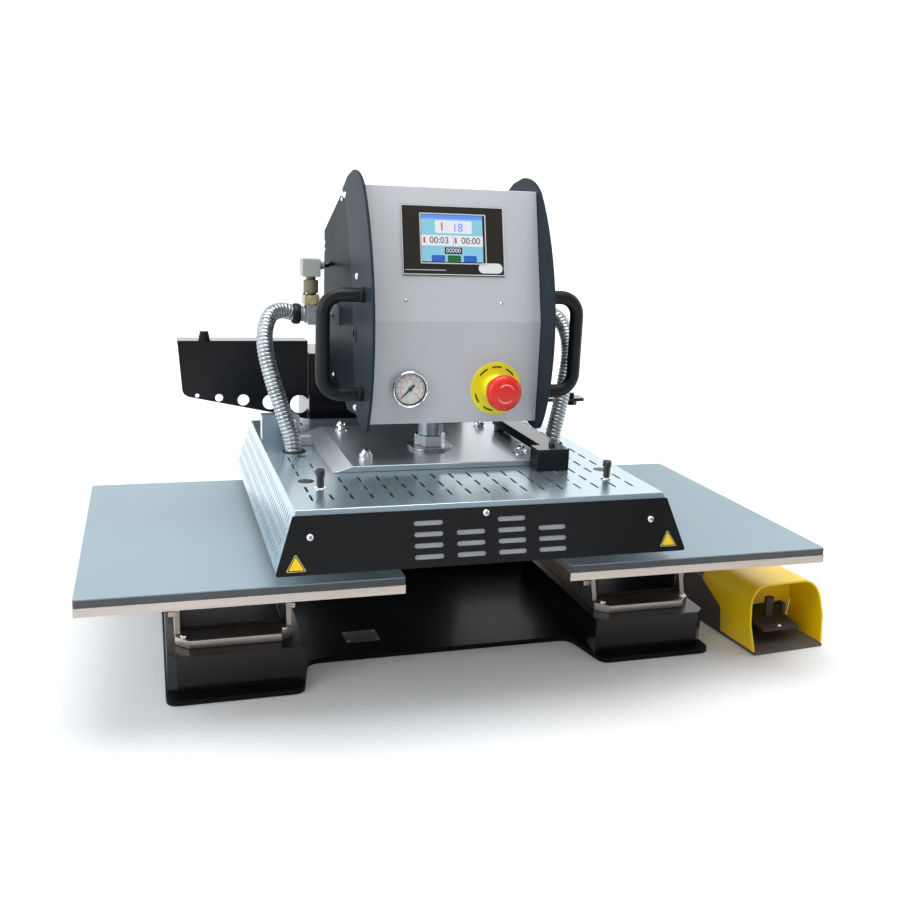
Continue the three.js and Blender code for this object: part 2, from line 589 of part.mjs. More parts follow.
function coverBlock(inset, z0, z1) {
  const at = (z) => (COVER.topZ - z) / (COVER.topZ - COVER.botZ);
  const halfX = [z0, z1].map((z) => COVER.topX + COVER.flareX * at(z) - inset);
  const halfY = [z0, z1].map((z) => COVER.topY + COVER.flareY * at(z) - inset);
  return taper(halfX.map((h) => HEAD_X - h), halfX.map((h) => HEAD_X + h),
    halfY.map((h) => -h), halfY, [z0, z1]);
}
const conduitHoles = [-206, 206].map((x) => bar("z", [HEAD_X + x, 34], 290, 310, 17, 20));
const serviceHoles = [-214, 214].map((x) => bar("z", [HEAD_X + x, -134], 290, 310, 12, 16));
lift("heat_cover", cut(
  coverBlock(0, COVER.botZ, COVER.topZ),
  coverBlock(COVER.sheet, COVER.botZ - 1, COVER.topZ - COVER.sheet),
  ...conduitHoles,
  ...serviceHoles,
), coverSilver);

// The front plate lies on the cover's sloping front and overhangs it slightly.
const frontPlate = { thick: 2, lip: 6 };
const frontLean = COVER.flareY / (COVER.topZ - COVER.botZ);
const plateY = (z, out) => -(COVER.topY + frontLean * (COVER.topZ - z)) - out;
const coverEdgeX = (z) => COVER.topX + (COVER.flareX * (COVER.topZ - z)) / (COVER.topZ - COVER.botZ);
const fpZ = [COVER.botZ - 1.5, COVER.topZ - frontPlate.lip];
lift("cover_front", taper(
  fpZ.map((z) => HEAD_X - coverEdgeX(z) - 1), fpZ.map((z) => HEAD_X + coverEdgeX(z) + 1),
  fpZ.map((z) => plateY(z, GAP + frontPlate.thick)), fpZ.map((z) => plateY(z, GAP)), fpZ,
), blackPaint);

lift("heater_platen", joined(
  box([HEAD_X - HEATER.halfX, HEAD_X + HEATER.halfX], [-HEATER.halfY, HEATER.halfY],
    [HEATER.z, HEATER.z + HEATER.thick]),
  box([HEAD_X - 60, HEAD_X + 60], [-60, 60], [HEATER.z + HEATER.thick - 1, COVER.topZ - COVER.sheet - GAP]),
), aluminium);

const BRIDGE = { halfX: 144, slopeX: 28, y: [-100, 160], z: [COVER.topZ + GAP, 313] };
lift("bridge_plate", joined(
  taper([HEAD_X - BRIDGE.halfX - BRIDGE.slopeX, HEAD_X - BRIDGE.halfX],
    [HEAD_X + BRIDGE.halfX + BRIDGE.slopeX, HEAD_X + BRIDGE.halfX],
    [BRIDGE.y[0], BRIDGE.y[0]], [BRIDGE.y[1], BRIDGE.y[1]], BRIDGE.z),
  ...[[-117, -58], [117, -58], [-117, 135], [117, 135]].map(([x, y]) => joined(
    hex("z", [HEAD_X + x, y], BRIDGE.z[1] - 1, BRIDGE.z[1] + 8, 17),
    bar("z", [HEAD_X + x, y], BRIDGE.z[1] + 7, BRIDGE.z[1] + 15, 7.6, 16),
  )),
), galvanised);

const rodZ = BRIDGE.z[1] + GAP;
lift("lifting_rod", joined(
  bar("z", [ROD.x, 0], rodZ, rodZ + 4, 34, 28),
  hex("z", [ROD.x, 0], rodZ + 3, rodZ + 24, ROD.nutAcross),
  bar("z", [ROD.x, 0], rodZ + 23, 436, ROD.r, 28),
), steel);

// The guide bar keeps the heater square to the head: a bar on two feet over the bridge plate.
lift("guide_bar", joined(
  box([119, 152], [-118, 108], [322, 336]),
  box([104, 152], [-134, -104], [COVER.topZ + GAP, 336]),
  box([122, 146], [84, 108], [rodZ, 323]),
), blackPaint);

// ---- foot switch, standing on the table beside the right leg ----
const pedal = new THREE.Group();
pedal.position.set(FOOT.x, FOOT.y, 0);
pedal.rotation.z = FOOT.turn;
press.add(pedal);

function hoodShape(inset, top) {
  const w = FOOT.half - inset;
  const shape = new THREE.Shape();
  shape.moveTo(-w, 0);
  shape.lineTo(-w - 5, 48);
  shape.lineTo(-w - 2, 76);
  shape.quadraticCurveTo(-w + 4, top, -w + 34, top);
  shape.lineTo(w - 34, top);
  shape.quadraticCurveTo(w - 4, top, w + 2, 76);
  shape.lineTo(w + 5, 48);
  shape.lineTo(w, 0);
  shape.closePath();
  return shape;
}
// The hood's mouth leans back, so its rim is cut by a sloping block.
const mouthCut = side(outline([[-60, -10], [0.01, -10], [30, 125], [-60, 125]]), -120, 120);
const hoodFloor = 5;
const hoodBack = 150;
const bodyFront = 92;
const shoulder = 76;
addTo(pedal, "foot_switch_hood", cut(
  front(hoodShape(0, FOOT.tall), 0, hoodBack, 5),
  front(hoodShape(4, FOOT.tall - 4), -1, hoodBack + 1, 5),
  box([-120, 120], [-5, hoodBack + 5], [-10, hoodFloor]),
  box([-120, 120], [bodyFront, hoodBack + 5], [-10, shoulder + 2]),
  mouthCut,
), yellowPlastic);

// The base carries the switch case behind the treadle and two ears with the treadle's bore.
const PIN = { y: 84, z: 38, r: 4, half: 50 };
const ears = [-1, 1].map((dir) => {
  const x = [dir * 43, dir * 49].sort((a, b) => a - b);
  return box(x, [PIN.y - 8, PIN.y + 8], [hoodFloor - 1, PIN.z + 9]);
});
addTo(pedal, "foot_switch_base", cut(
  joined(
    box([-FOOT.half + 1, FOOT.half - 1], [2, FOOT.length], [0, hoodFloor - GAP]),
    box([-FOOT.half + 2, FOOT.half - 2], [bodyFront + 3, FOOT.length], [hoodFloor - 1, shoulder]),
    box([-46, 46], [bodyFront + 12, FOOT.length - 12], [shoulder - 1, shoulder + 14]),
    bar("y", [-30, 30], FOOT.length - 1, FOOT.length + 14, 9, 16),
    ...ears,
  ),
  bar("x", [PIN.y, PIN.z], -55, 55, PIN.r + 0.5, 16),
), darkSteel);

// The treadle is a plate with an upright toe stop, turning on its pin.
addTo(pedal, "treadle", joined(
  side(outline([[24, 26], [PIN.y, 35], [PIN.y, 40], [23, 31]]), -34, 34),
  box([-7, 7], [56, 64], [33, 70]),
  bar("x", [PIN.y, PIN.z], -PIN.half, PIN.half, PIN.r, 12),
), blackPlastic);

export default press;
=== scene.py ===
"""A two-station heat press with a sliding head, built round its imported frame."""

import math

import bmesh
import bpy
from mathutils import Matrix, Vector


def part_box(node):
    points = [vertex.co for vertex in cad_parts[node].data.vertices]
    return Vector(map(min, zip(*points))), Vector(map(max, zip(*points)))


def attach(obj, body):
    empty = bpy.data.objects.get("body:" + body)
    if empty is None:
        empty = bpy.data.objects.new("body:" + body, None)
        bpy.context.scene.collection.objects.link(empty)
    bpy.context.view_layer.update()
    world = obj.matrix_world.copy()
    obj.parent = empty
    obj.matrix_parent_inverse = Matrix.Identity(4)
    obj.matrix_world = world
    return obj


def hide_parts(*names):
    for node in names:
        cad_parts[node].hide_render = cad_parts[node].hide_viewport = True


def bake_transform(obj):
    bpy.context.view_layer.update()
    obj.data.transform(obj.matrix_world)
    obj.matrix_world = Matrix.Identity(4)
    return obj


bl_info = {
    "name": "Heat Press",
    "version": (1, 0, 0),
    "blender": (4, 5, 0),
    "location": "3D View > Sidebar > Heat Press",
    "description": "Builds a two-station heat press around its frame, piece by piece",
    "category": "Add Mesh",
}

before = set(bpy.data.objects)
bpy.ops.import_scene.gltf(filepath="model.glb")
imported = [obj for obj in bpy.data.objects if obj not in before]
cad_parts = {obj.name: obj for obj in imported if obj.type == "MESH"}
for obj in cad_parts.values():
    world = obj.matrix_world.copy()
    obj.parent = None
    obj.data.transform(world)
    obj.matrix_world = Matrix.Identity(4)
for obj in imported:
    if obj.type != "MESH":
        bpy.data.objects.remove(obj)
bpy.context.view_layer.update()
MM = 0.001
UP = Vector((0, 0, 1))
RIGHT = Vector((1, 0, 0))
OUT_FRONT = Vector((0, -1, 0))
FULL_TURN = 2 * math.pi
SAME_POINT = 1e-6
HEX_FLAT = math.cos(math.pi / 6)
LEFT_RIGHT = (("left", -1), ("right", 1))


# ---- settings a user would change ----


def tint(name, description, default):
    """A colour that a user may change."""
    return bpy.props.FloatVectorProperty(
        name=name, description=description, default=default, subtype="COLOR", size=3, min=0, max=1
    )


def length(name, description, default):
    """A length that a user may change."""
    return bpy.props.FloatProperty(
        name=name, description=description, default=default, unit="LENGTH", min=0, precision=5
    )


class PressColours(bpy.types.PropertyGroup):
    """Colours of the press's finishes"""

    black: tint("Black", "Satin black powder coat of the base and column", (0.005, 0.0055, 0.0068))
    slate: tint("Slate", "Slate powder coat of the cheeks and the rear housing", (0.024, 0.033, 0.042))
    silver: tint("Silver", "Silver paint of the front panel", (0.56, 0.575, 0.6))
    cover: tint("Cover", "Coated sheet of the heater's cover", (0.42, 0.53, 0.6))
    aluminium: tint("Aluminium", "Machined lower plates and brackets", (0.56, 0.5, 0.45))
    pad: tint("Pad", "Silicone pads on the lower plates", (0.26, 0.355, 0.41))
    yellow: tint("Yellow", "Foot switch hood", (0.92, 0.6, 0.0))
    red: tint("Red", "Emergency stop", (0.78, 0.018, 0.008))
    plastic: tint("Black plastic", "Handles and small mouldings", (0.0045, 0.0048, 0.0055))
    grey: tint("Grey plastic", "Valve plug", (0.42, 0.42, 0.38))


class PressSizes(bpy.types.PropertyGroup):
    """Sizes of the details that the frame leaves open"""

    sheet_edge: length("Sheet edge", "Rounding of sheet and plate edges", 0.7 * MM)
    cast_edge: length("Moulded edge", "Rounding of moulded and cast edges", 2.2 * MM)
    slot_pitch_x: length("Slot pitch across", "Distance between columns of slots in the cover", 25.8 * MM)
    slot_pitch_y: length("Slot pitch along", "Distance between rows of slots in the cover", 39.5 * MM)
    slot_length: length("Slot length", "Length of a slot in the cover's top", 26 * MM)
    slot_width: length("Slot width", "Width of a slot in the cover's top", 3.6 * MM)
    hose_pitch: length("Hose pitch", "Distance between the turns of the conduits' strip", 5.6 * MM)
    rib_depth: length("Hose rib", "Depth of the groove between turns", 1.5 * MM)


class PressStage(bpy.types.PropertyGroup):
    """Camera and light"""

    camera_at: bpy.props.FloatVectorProperty(
        name="Camera", description="Where the camera stands", size=3, subtype="TRANSLATION",
        unit="LENGTH", default=(-0.4201, -1.4107, 0.6604),
    )
    heading: bpy.props.FloatProperty(
        name="Heading", description="Turn of the view from straight ahead towards the right",
        unit="ROTATION", default=0.299,
    )
    tilt: bpy.props.FloatProperty(
        name="Tilt", description="Downward tilt of the view", unit="ROTATION", default=0.235
    )
    roll: bpy.props.FloatProperty(
        name="Roll", description="Roll of the camera", unit="ROTATION", default=0.039
    )
    lens: bpy.props.FloatProperty(name="Lens", description="Focal length", unit="CAMERA", default=39.94)
    sky: bpy.props.FloatProperty(
        name="Surround", description="Brightness of the white surround", default=0.46
    )


# ---- shader maths ----


class Wire:
    """An output socket with Python's arithmetic; each operation adds a Math node."""

    def __init__(self, finish, socket):
        self.finish = finish
        self.socket = socket

    def maths(self, operation, first, second):
        return self.finish.node("Math", {"operation": operation}, {0: first, 1: second})

    def __add__(self, other):
        return self.maths("ADD", self, other)

    def __sub__(self, other):
        return self.maths("SUBTRACT", self, other)

    def __rsub__(self, other):
        return self.maths("SUBTRACT", other, self)

    def __mul__(self, other):
        return self.maths("MULTIPLY", self, other)

    __radd__ = __add__
    __rmul__ = __mul__


class Finish:
    """One material: a Principled shader whose constants are set on its own sockets."""

    made = {}

    def __init__(self, name, **constants):
        self.material = bpy.data.materials.new(name)
        self.material.use_nodes = True
        self.tree = self.material.node_tree
        self.shader = self.tree.nodes["Principled BSDF"]
        for key, value in constants.items():
            self.shader.inputs[key.replace("_", " ").title().replace("Ior", "IOR")].default_value = value
        Finish.made[name] = self.material

    def node(self, kind, settings=None, inputs=None, output=0):
        made = self.tree.nodes.new("ShaderNode" + kind)
        for key, value in (settings or {}).items():
            if key == "stops":
                for _ in range(len(value) - 2):
                    made.color_ramp.elements.new(0.5)
                for element, (place, colour) in zip(made.color_ramp.elements, value):
                    element.position = place
                    element.color = colour
            else:
                setattr(made, key, value)
        for key, value in (inputs or {}).items():
            self.feed(made.inputs[key], value)
        return Wire(self, made.outputs[output])

    def feed(self, socket, value):
        if isinstance(value, Wire):
            self.tree.links.new(value.socket, socket)
        else:
            socket.default_value = value

    def put(self, name, value):
        self.feed(self.shader.inputs[name], value)
        return self

    def place(self, scale=(1, 1, 1)):
        """Object coordinates in metres, stretched along the axes."""
        here = self.node("TexCoord", output=3)
        return self.node("Mapping", inputs={"Vector": here, "Scale": scale})

    def noise(self, scale, detail=3.0, rough=0.55, stretch=(1, 1, 1)):
        inputs = {"Vector": self.place(stretch), "Scale": scale, "Detail": detail, "Roughness": rough}
        return self.node("TexNoise", inputs=inputs)

    def mix(self, factor, first, second):
        rgba = [(*c, 1) if isinstance(c, (tuple, list)) and len(c) == 3 else c for c in (first, second)]
        return self.node("Mix", {"data_type": "RGBA"}, {0: factor, 6: rgba[0], 7: rgba[1]}, output=2)

    def spread(self, value, low, high, out_low=0.0, out_high=1.0):
        """Maps value from low..high to out_low..out_high, clamped."""
        inputs = {"Value": value, "From Min": low, "From Max": high, "To Min": out_low, "To Max": out_high}
        return self.node("MapRange", inputs=inputs)

    def bump(self, height, distance, strength=1.0):
        inputs = {"Height": height, "Distance": distance, "Strength": strength}
        return self.put("Normal", self.node("Bump", inputs=inputs))


def shade(colour, factor):
    """A colour made darker or lighter."""
    return tuple(min(1.0, c * factor) for c in colour)


def powder_coat(name, colour, rough, peel=0.00006, gloss=0.28, coat=0.1):
    """Powder coat: fine orange peel, faint mottling and flecks, and dust in patches."""
    m = Finish(name, specular_ior_level=gloss, coat_weight=coat, coat_roughness=0.15)
    mottle = m.spread(m.noise(6, 4), 0.3, 0.7)
    fleck = m.spread(m.noise(900, 2), 0.4, 0.75)
    dust = m.spread(m.noise(26, 7, 0.72), 0.6, 0.85)
    tone = m.mix(mottle, shade(colour, 0.93), shade(colour, 1.08))
    tone = m.mix(fleck * 0.2, tone, shade(colour, 1.6))
    m.put("Base Color", m.mix(dust * 0.03, tone, (0.3, 0.31, 0.32)))
    m.put("Roughness", m.spread(mottle + dust * 0.5, 0, 1.5, rough - 0.03, rough + 0.07))
    m.bump(m.noise(1400, 2), peel)
    return m.material


def sheet_paint(name, colour, rough, metal, streak):
    """Silver paint with metal flake, light handling marks and soft gloss."""
    m = Finish(name, coat_weight=0.35, coat_roughness=0.12)
    flake = m.node("TexVoronoi", inputs={"Vector": m.place(), "Scale": 1800})
    cloud = m.spread(m.noise(5, 4), 0.3, 0.7)
    marks = m.spread(m.noise(14, 6, 0.7, streak), 0.52, 0.75)
    tone = m.mix(cloud, shade(colour, 0.95), shade(colour, 1.06))
    tone = m.mix(m.spread(flake, 0.1, 0.6) * 0.06, tone, shade(colour, 1.2))
    m.put("Base Color", m.mix(marks * 0.03, tone, shade(colour, 0.7)))
    m.put("Metallic", m.spread(flake, 0.0, 0.8, metal, metal - 0.05))
    m.put("Roughness", m.spread(cloud + marks * 0.4, 0, 1.4, rough, rough + 0.07))
    m.bump(m.noise(1100, 2), 0.000003)
    return m.material


def brushed(name, colour, rough, stretch, depth=0.00004):
    """Machined or brushed metal: fine lines along one axis, with stains."""
    m = Finish(name, metallic=1.0)
    lines = m.noise(1.0, 3, 0.7, stretch)
    broad = m.noise(7, 4)
    tone = m.mix(m.spread(lines, 0.3, 0.7), shade(colour, 0.84), shade(colour, 1.08))
    tone = m.mix(m.spread(broad, 0.5, 0.8) * 0.25, tone, shade(colour, 0.75))
    m.put("Base Color", tone)
    m.put("Roughness", m.spread(lines + broad * 0.6, 0.4, 1.2, rough - 0.07, rough + 0.12))
    m.bump(lines, depth)
    return m.material


def zinc(name, colour, rough):
    """Zinc plate: soft spangles with a little white bloom."""
    m = Finish(name, metallic=0.95)
    cell = m.node("TexVoronoi", inputs={"Vector": m.place(), "Scale": 95}, output=1)
    grey = m.node("SeparateColor", inputs={"Color": cell})
    bloom = m.spread(m.noise(22, 6), 0.48, 0.72)
    tone = m.mix(grey, shade(colour, 0.82), shade(colour, 1.12))
    m.put("Base Color", m.mix(bloom * 0.35, tone, (0.62, 0.66, 0.68)))
    m.put("Roughness", m.spread(grey + bloom * 0.6, 0, 1.5, rough - 0.06, rough + 0.16))
    m.bump(m.noise(700, 3), 0.00003)
    return m.material


def moulded(name, colour, rough, grain=0.00008):
    """Moulded plastic: fine erosion grain, slight colour drift and scuffs."""
    m = Finish(name, specular_ior_level=0.35)
    texture = m.noise(1700, 3)
    drift = m.spread(m.noise(12, 4), 0.3, 0.7)
    scuff = m.spread(m.noise(70, 6, 0.7, (1, 5, 1)), 0.6, 0.78) * 0.15
    tone = m.mix(drift, shade(colour, 0.9), shade(colour, 1.1))
    m.put("Base Color", m.mix(scuff, tone, shade([c + 0.03 for c in colour], 1.4)))
    m.put("Roughness", m.spread(drift + texture * 0.5, 0, 1.4, rough - 0.06, rough + 0.1))
    m.bump(texture, grain)
    return m.material


def silicone(name, colour):
    """Silicone pad: a matt skin with fine pores and a dusting of fibres pressed into it."""
    m = Finish(name, sheen_weight=0.25)
    cloud = m.spread(m.noise(4, 5), 0.3, 0.72)
    pores = m.spread(m.noise(1300, 3), 0.42, 0.62)
    lint = m.spread(m.noise(160, 6, 0.75, (1, 6, 1)), 0.62, 0.74)
    tone = m.mix(cloud, shade(colour, 0.9), shade(colour, 1.1))
    tone = m.mix(pores * 0.3, tone, shade(colour, 0.75))
    m.put("Base Color", m.mix(lint * 0.3, tone, shade(colour, 1.9)))
    m.put("Roughness", m.spread(cloud, 0, 1, 0.5, 0.66))
    m.bump(pores, 0.00006)
    return m.material


def plain_gloss(name, colour, rough, coat, metal=0.0):
    """Glossy enamel or lacquer with faint waviness."""
    m = Finish(name, metallic=metal, coat_weight=coat, coat_roughness=0.06)
    wave = m.spread(m.noise(18, 4), 0.3, 0.7)
    m.put("Base Color", m.mix(wave, shade(colour, 0.94), shade(colour, 1.05)))
    m.put("Roughness", m.spread(wave, 0, 1, rough - 0.03, rough + 0.06))
    m.bump(m.noise(240, 2), 0.00002)
    return m.material


def glass(name, tint, alpha):
    """A clear lens with a few smears."""
    m = Finish(name, roughness=0.03, ior=1.3)
    smear = m.spread(m.noise(30, 5), 0.5, 0.75)
    m.put("Base Color", m.mix(smear, tint, shade(tint, 1.3)))
    m.put("Alpha", m.spread(smear, 0, 1, alpha, alpha + 0.06))
    return m.material


def lit(name, colour, strength):
    """A lit area of the screen, with its fine rows of dots."""
    m = Finish(name, roughness=0.25, emission_strength=strength)
    rows = m.node("TexWave", {"wave_type": "BANDS", "bands_direction": "Z"},
                  {"Vector": m.place(), "Scale": 520, "Distortion": 0})
    tone = m.mix(rows * 0.12, colour, shade(colour, 0.8))
    m.put("Base Color", m.mix(rows * 0.12, shade(colour, 0.4), shade(colour, 0.3)))
    m.put("Emission Color", tone)
    return m.material


def woven_label(name):
    """Dark printed film with a fine woven pattern of dots."""
    m = Finish(name, specular_ior_level=0.3, coat_weight=0.15, coat_roughness=0.1)
    checks = m.node("TexChecker", inputs={"Vector": m.place((1, 0, 1.0)), "Scale": 620}, output=1)
    tone = m.mix(checks, (0.005, 0.0045, 0.004), (0.035, 0.028, 0.02))
    m.put("Base Color", m.mix(m.spread(m.noise(9, 3), 0.35, 0.7) * 0.3, tone, (0.015, 0.012, 0.01)))
    m.put("Roughness", m.spread(checks, 0, 1, 0.3, 0.42))
    return m.material


def dial_face(name, centre):
    """White dial lacquer, darker and browner towards its rim in patches."""
    m = Finish(name, roughness=0.4)
    here = m.node("TexCoord", output=3)
    away = m.node("VectorMath", {"operation": "DISTANCE"}, {0: here, 1: centre}, output=1)
    # The dial darkens and browns towards its rim, in patches.
    rim_darkening = m.spread(away, 0.012, 0.023) * m.spread(m.noise(90, 4), 0.3, 0.8)
    m.put("Base Color", m.mix(rim_darkening, (0.8, 0.8, 0.77), (0.6, 0.58, 0.52)))
    return m.material


def make_finishes():
    """Every finish that the pieces name, made once."""
    c = bpy.context.scene.press_colours
    across, along, upright = (4, 900, 900), (900, 4, 900), (900, 900, 4)
    powder_coat("black_coat", c.black, 0.33)
    powder_coat("base_coat", c.black, 0.42, gloss=0.08)
    powder_coat("gloss_black_coat", c.black, 0.18, 0.00003, gloss=0.3)
    powder_coat("slate_coat", c.slate, 0.42, gloss=0.03, coat=0.0)
    # Painted shade: the rear housing takes the cheeks' slate paint at half brightness.
    powder_coat("shaded_slate_coat", shade(c.slate, 0.5), 0.4, gloss=0.02, coat=0.0)
    sheet_paint("panel_paint", c.silver, 0.34, 0.25, (1, 1, 14))
    sheet_paint("cover_sheet", c.cover, 0.24, 0.85, (14, 1, 1))
    brushed("machined_across", c.aluminium, 0.32, across)
    brushed("machined_along", c.aluminium, 0.34, along)
    brushed("cast_heater", (0.5, 0.49, 0.48), 0.45, upright, 0.0001)
    brushed("ground_rail", (0.55, 0.56, 0.58), 0.22, across)
    brushed("bright_steel", (0.72, 0.73, 0.75), 0.2, upright)
    brushed("dark_steel", (0.09, 0.09, 0.095), 0.42, along)
    zinc("zinc_plate", (0.5, 0.55, 0.58), 0.34)
    sheet_paint("bridge_zinc", (0.42, 0.48, 0.51), 0.27, 0.72, (1, 9, 1))
    zinc("hose_zinc", (0.46, 0.49, 0.5), 0.3)
    silicone("pad_silicone", c.pad)
    silicone("pad_edge", (0.06, 0.065, 0.07))
    moulded("black_moulding", c.plastic, 0.42)
    moulded("treadle_grip", (0.05, 0.045, 0.042), 0.6, 0.0002)
    moulded("grey_moulding", c.grey, 0.45)
    moulded("switch_case", (0.11, 0.1, 0.092), 0.5, 0.0003)
    moulded("rubber_stop", (0.012, 0.012, 0.012), 0.75, 0.0001)
    moulded("coil_resin", (0.21, 0.2, 0.13), 0.35)
    moulded("brass_body", (0.42, 0.33, 0.16), 0.3)
    plain_gloss("yellow_shell", c.yellow, 0.38, 0.08)
    plain_gloss("stop_yellow", (0.87, 0.78, 0.01), 0.4, 0.2)
    plain_gloss("stop_red", c.red, 0.35, 0.15)
    plain_gloss("chrome", (0.8, 0.81, 0.83), 0.07, 0.0, metal=1.0)
    plain_gloss("mark_black", (0.012, 0.012, 0.012), 0.35, 0.2)
    plain_gloss("mark_white", (0.75, 0.76, 0.76), 0.35, 0.2)
    plain_gloss("mark_silver", (0.55, 0.56, 0.58), 0.3, 0.2)
    plain_gloss("mark_red", (0.55, 0.03, 0.03), 0.35, 0.2)
    plain_gloss("mark_pink", (0.75, 0.35, 0.32), 0.35, 0.2)
    plain_gloss("inlay_silver", (0.5, 0.515, 0.53), 0.42, 0.1, metal=0.4)
    plain_gloss("sticker_yellow", (0.9, 0.58, 0.01), 0.4, 0.2)
    plain_gloss("sticker_edge", (0.85, 0.72, 0.3), 0.4, 0.2)
    brushed("rod_steel", (0.42, 0.47, 0.5), 0.25, across)
    glass("clear_lens", (0.85, 0.9, 0.9), 0.035)
    woven_label("printed_film")
    lit("screen_blue", (0.22, 0.5, 0.62), 0.75)
    lit("screen_bar", (0.12, 0.25, 0.85), 0.8)
    lit("screen_panel", (0.68, 0.7, 0.72), 0.75)
    lit("screen_key", (0.03, 0.12, 0.5), 0.6)
    lit("screen_key_green", (0.02, 0.14, 0.06), 0.5)
    low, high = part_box("gauge_body")
    dial_face("dial_white", tuple((low + high) / 2))


# ---- mesh tools ----


def own(name, mesh, finish, body):
    """Links a mesh as a piece with one finish, riding on a body unless the body is None."""
    piece = bpy.data.objects.new(name, mesh)
    bpy.context.scene.collection.objects.link(piece)
    mesh.materials.clear()
    mesh.materials.append(Finish.made[finish])
    if body:
        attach(piece, body)
    return piece


def stand_for(piece, node):
    """The piece stands for a CAD node, whose own part is hidden."""
    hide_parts(node)
    return piece


def apply_modifiers(piece):
    """Gives a piece the mesh that its modifiers make."""
    graph = bpy.context.evaluated_depsgraph_get()
    mesh = bpy.data.meshes.new_from_object(piece.evaluated_get(graph))
    old = piece.data
    piece.modifiers.clear()
    piece.data = mesh
    mesh.name = piece.name
    bpy.data.meshes.remove(old)
    return piece


def soften(piece, width, segments, angle=35.0, smooth=40.0):
    """Rounds the edges sharper than an angle; edges sharper than smooth stay sharp in shading."""
    mesh = piece.data
    mesh.polygons.foreach_set("use_smooth", [True] * len(mesh.polygons))
    if width > 0:
        bevel = piece.modifiers.new("edges", "BEVEL")
        bevel.width = width
        bevel.segments = segments
        bevel.limit_method = "ANGLE"
        bevel.angle_limit = math.radians(angle)
        bevel.miter_outer = "MITER_ARC"
        bevel.use_clamp_overlap = True
    apply_modifiers(piece)
    mark_sharp(piece.data, smooth)
    return weigh_normals(piece)


def weigh_normals(piece):
    """Shades by face area, so that flat faces beside rounded edges stay flat."""
    weighted = piece.modifiers.new("normals", "WEIGHTED_NORMAL")
    weighted.keep_sharp = True
    return apply_modifiers(piece)


def mark_sharp(mesh, angle):
    """Shades a mesh smooth, with edges over an angle in degrees left sharp."""
    work = bmesh.new()
    work.from_mesh(mesh)
    limit = math.radians(angle)
    for edge in work.edges:
        edge.smooth = len(edge.link_faces) == 2 and edge.calc_face_angle(0) < limit
    for face in work.faces:
        face.smooth = True
    work.to_mesh(mesh)
    work.free()


def refined(node, finish, body, width, segments=2, smooth=40.0):
    """A finished piece in a CAD node's exact shape: its flats merged, its edges rounded."""
    work = bmesh.new()
    work.from_mesh(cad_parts[node].data)
    bmesh.ops.remove_doubles(work, verts=work.verts, dist=SAME_POINT)
    bmesh.ops.dissolve_limit(work, angle_limit=math.radians(1.0), verts=work.verts, edges=work.edges)
    mesh = bpy.data.meshes.new(node + "_finished")
    work.to_mesh(mesh)
    work.free()
    piece = own(mesh.name, mesh, finish, body)
    soften(piece, width, segments, smooth=smooth)
    return stand_for(piece, node)


def axis_matrix(at, axis, turn=0.0):
    """Takes local +Z to axis at a point, turned about that axis."""
    aim = Vector(axis).normalized().to_track_quat("Z", "Y").to_matrix().to_4x4()
    return Matrix.Translation(at) @ aim @ Matrix.Rotation(turn, 4, "Z")


def ring_radius(radius, angle, hexagon):
    """A ring's radius at an angle; a hexagon's radius is measured across its corners."""
    if not hexagon:
        return radius
    step = math.pi / 3
    part = (angle % step) - step / 2
    return radius * math.cos(step / 2) / math.cos(part)


def in_metres(values):
    """Brings millimetres to metres."""
    return tuple(value * MM for value in values)


def in_mm(*rings):
    """Brings rings given in millimetres to metres."""
    return [(radius * MM, height * MM, *shape) for radius, height, *shape in rings]


def skin_loops(work, loops, around=False):
    """Joins loops of vertices into a tube, whose last loop meets its first when it goes around."""
    for one, two in zip(loops, loops[1:] + loops[:1] if around else loops[1:]):
        for i in range(len(one)):
            j = (i + 1) % len(one)
            work.faces.new((one[i], one[j], two[j], two[i]))


def cap_ends(work, loops):
    """Closes a tube with a face at each end."""
    work.faces.new(loops[0][::-1])
    work.faces.new(loops[-1])


def turned(work, rings, place, sides):
    """Adds a closed turned solid: rings of (radius, height) from the bottom up, "hex" after a hexagon."""
    loops = []
    for radius, height, *hexagon in rings:
        loop = []
        for i in range(sides):
            angle = FULL_TURN * i / sides
            r = ring_radius(radius, angle, hexagon)
            loop.append(work.verts.new(place @ Vector((r * math.cos(angle), r * math.sin(angle), height))))
        loops.append(loop)
    skin_loops(work, loops)
    cap_ends(work, loops)


def close(work, name, finish, body, smooth=32.0):
    """Turns a bmesh into a piece with its sharp edges marked."""
    bmesh.ops.recalc_face_normals(work, faces=work.faces)
    mesh = bpy.data.meshes.new(name)
    work.to_mesh(mesh)
    work.free()
    mark_sharp(mesh, smooth)
    return own(name, mesh, finish, body)


def turned_piece(name, rings, at, axis, finish, body, sides, smooth=32.0):
    """One turned solid as a piece, standing at a point along an axis."""
    work = bmesh.new()
    turned(work, rings, axis_matrix(at, axis), sides)
    return close(work, name, finish, body, smooth)


def button_head(r):
    """A domed screw head with a hexagon socket, radius r in metres."""
    h = 0.62 * r
    dome = [(r * math.cos(a), h * math.sin(a)) for a in [i * math.pi / 16 for i in range(6)]]
    socket = [(0.44 * r, h * 0.97, "hex"), (0.42 * r, h * 0.35, "hex")]
    return [(r, -0.2 * r), *dome, (0.5 * r, h * 0.97), *socket]


def socket_head(r, tall):
    """A cylindrical screw head with a hexagon socket."""
    wall = [(r, 0), (r, tall - 0.16 * r), (r * 0.86, tall), (0.66 * r, tall)]
    return [*wall, (0.6 * r, tall, "hex"), (0.58 * r, tall * 0.4, "hex")]


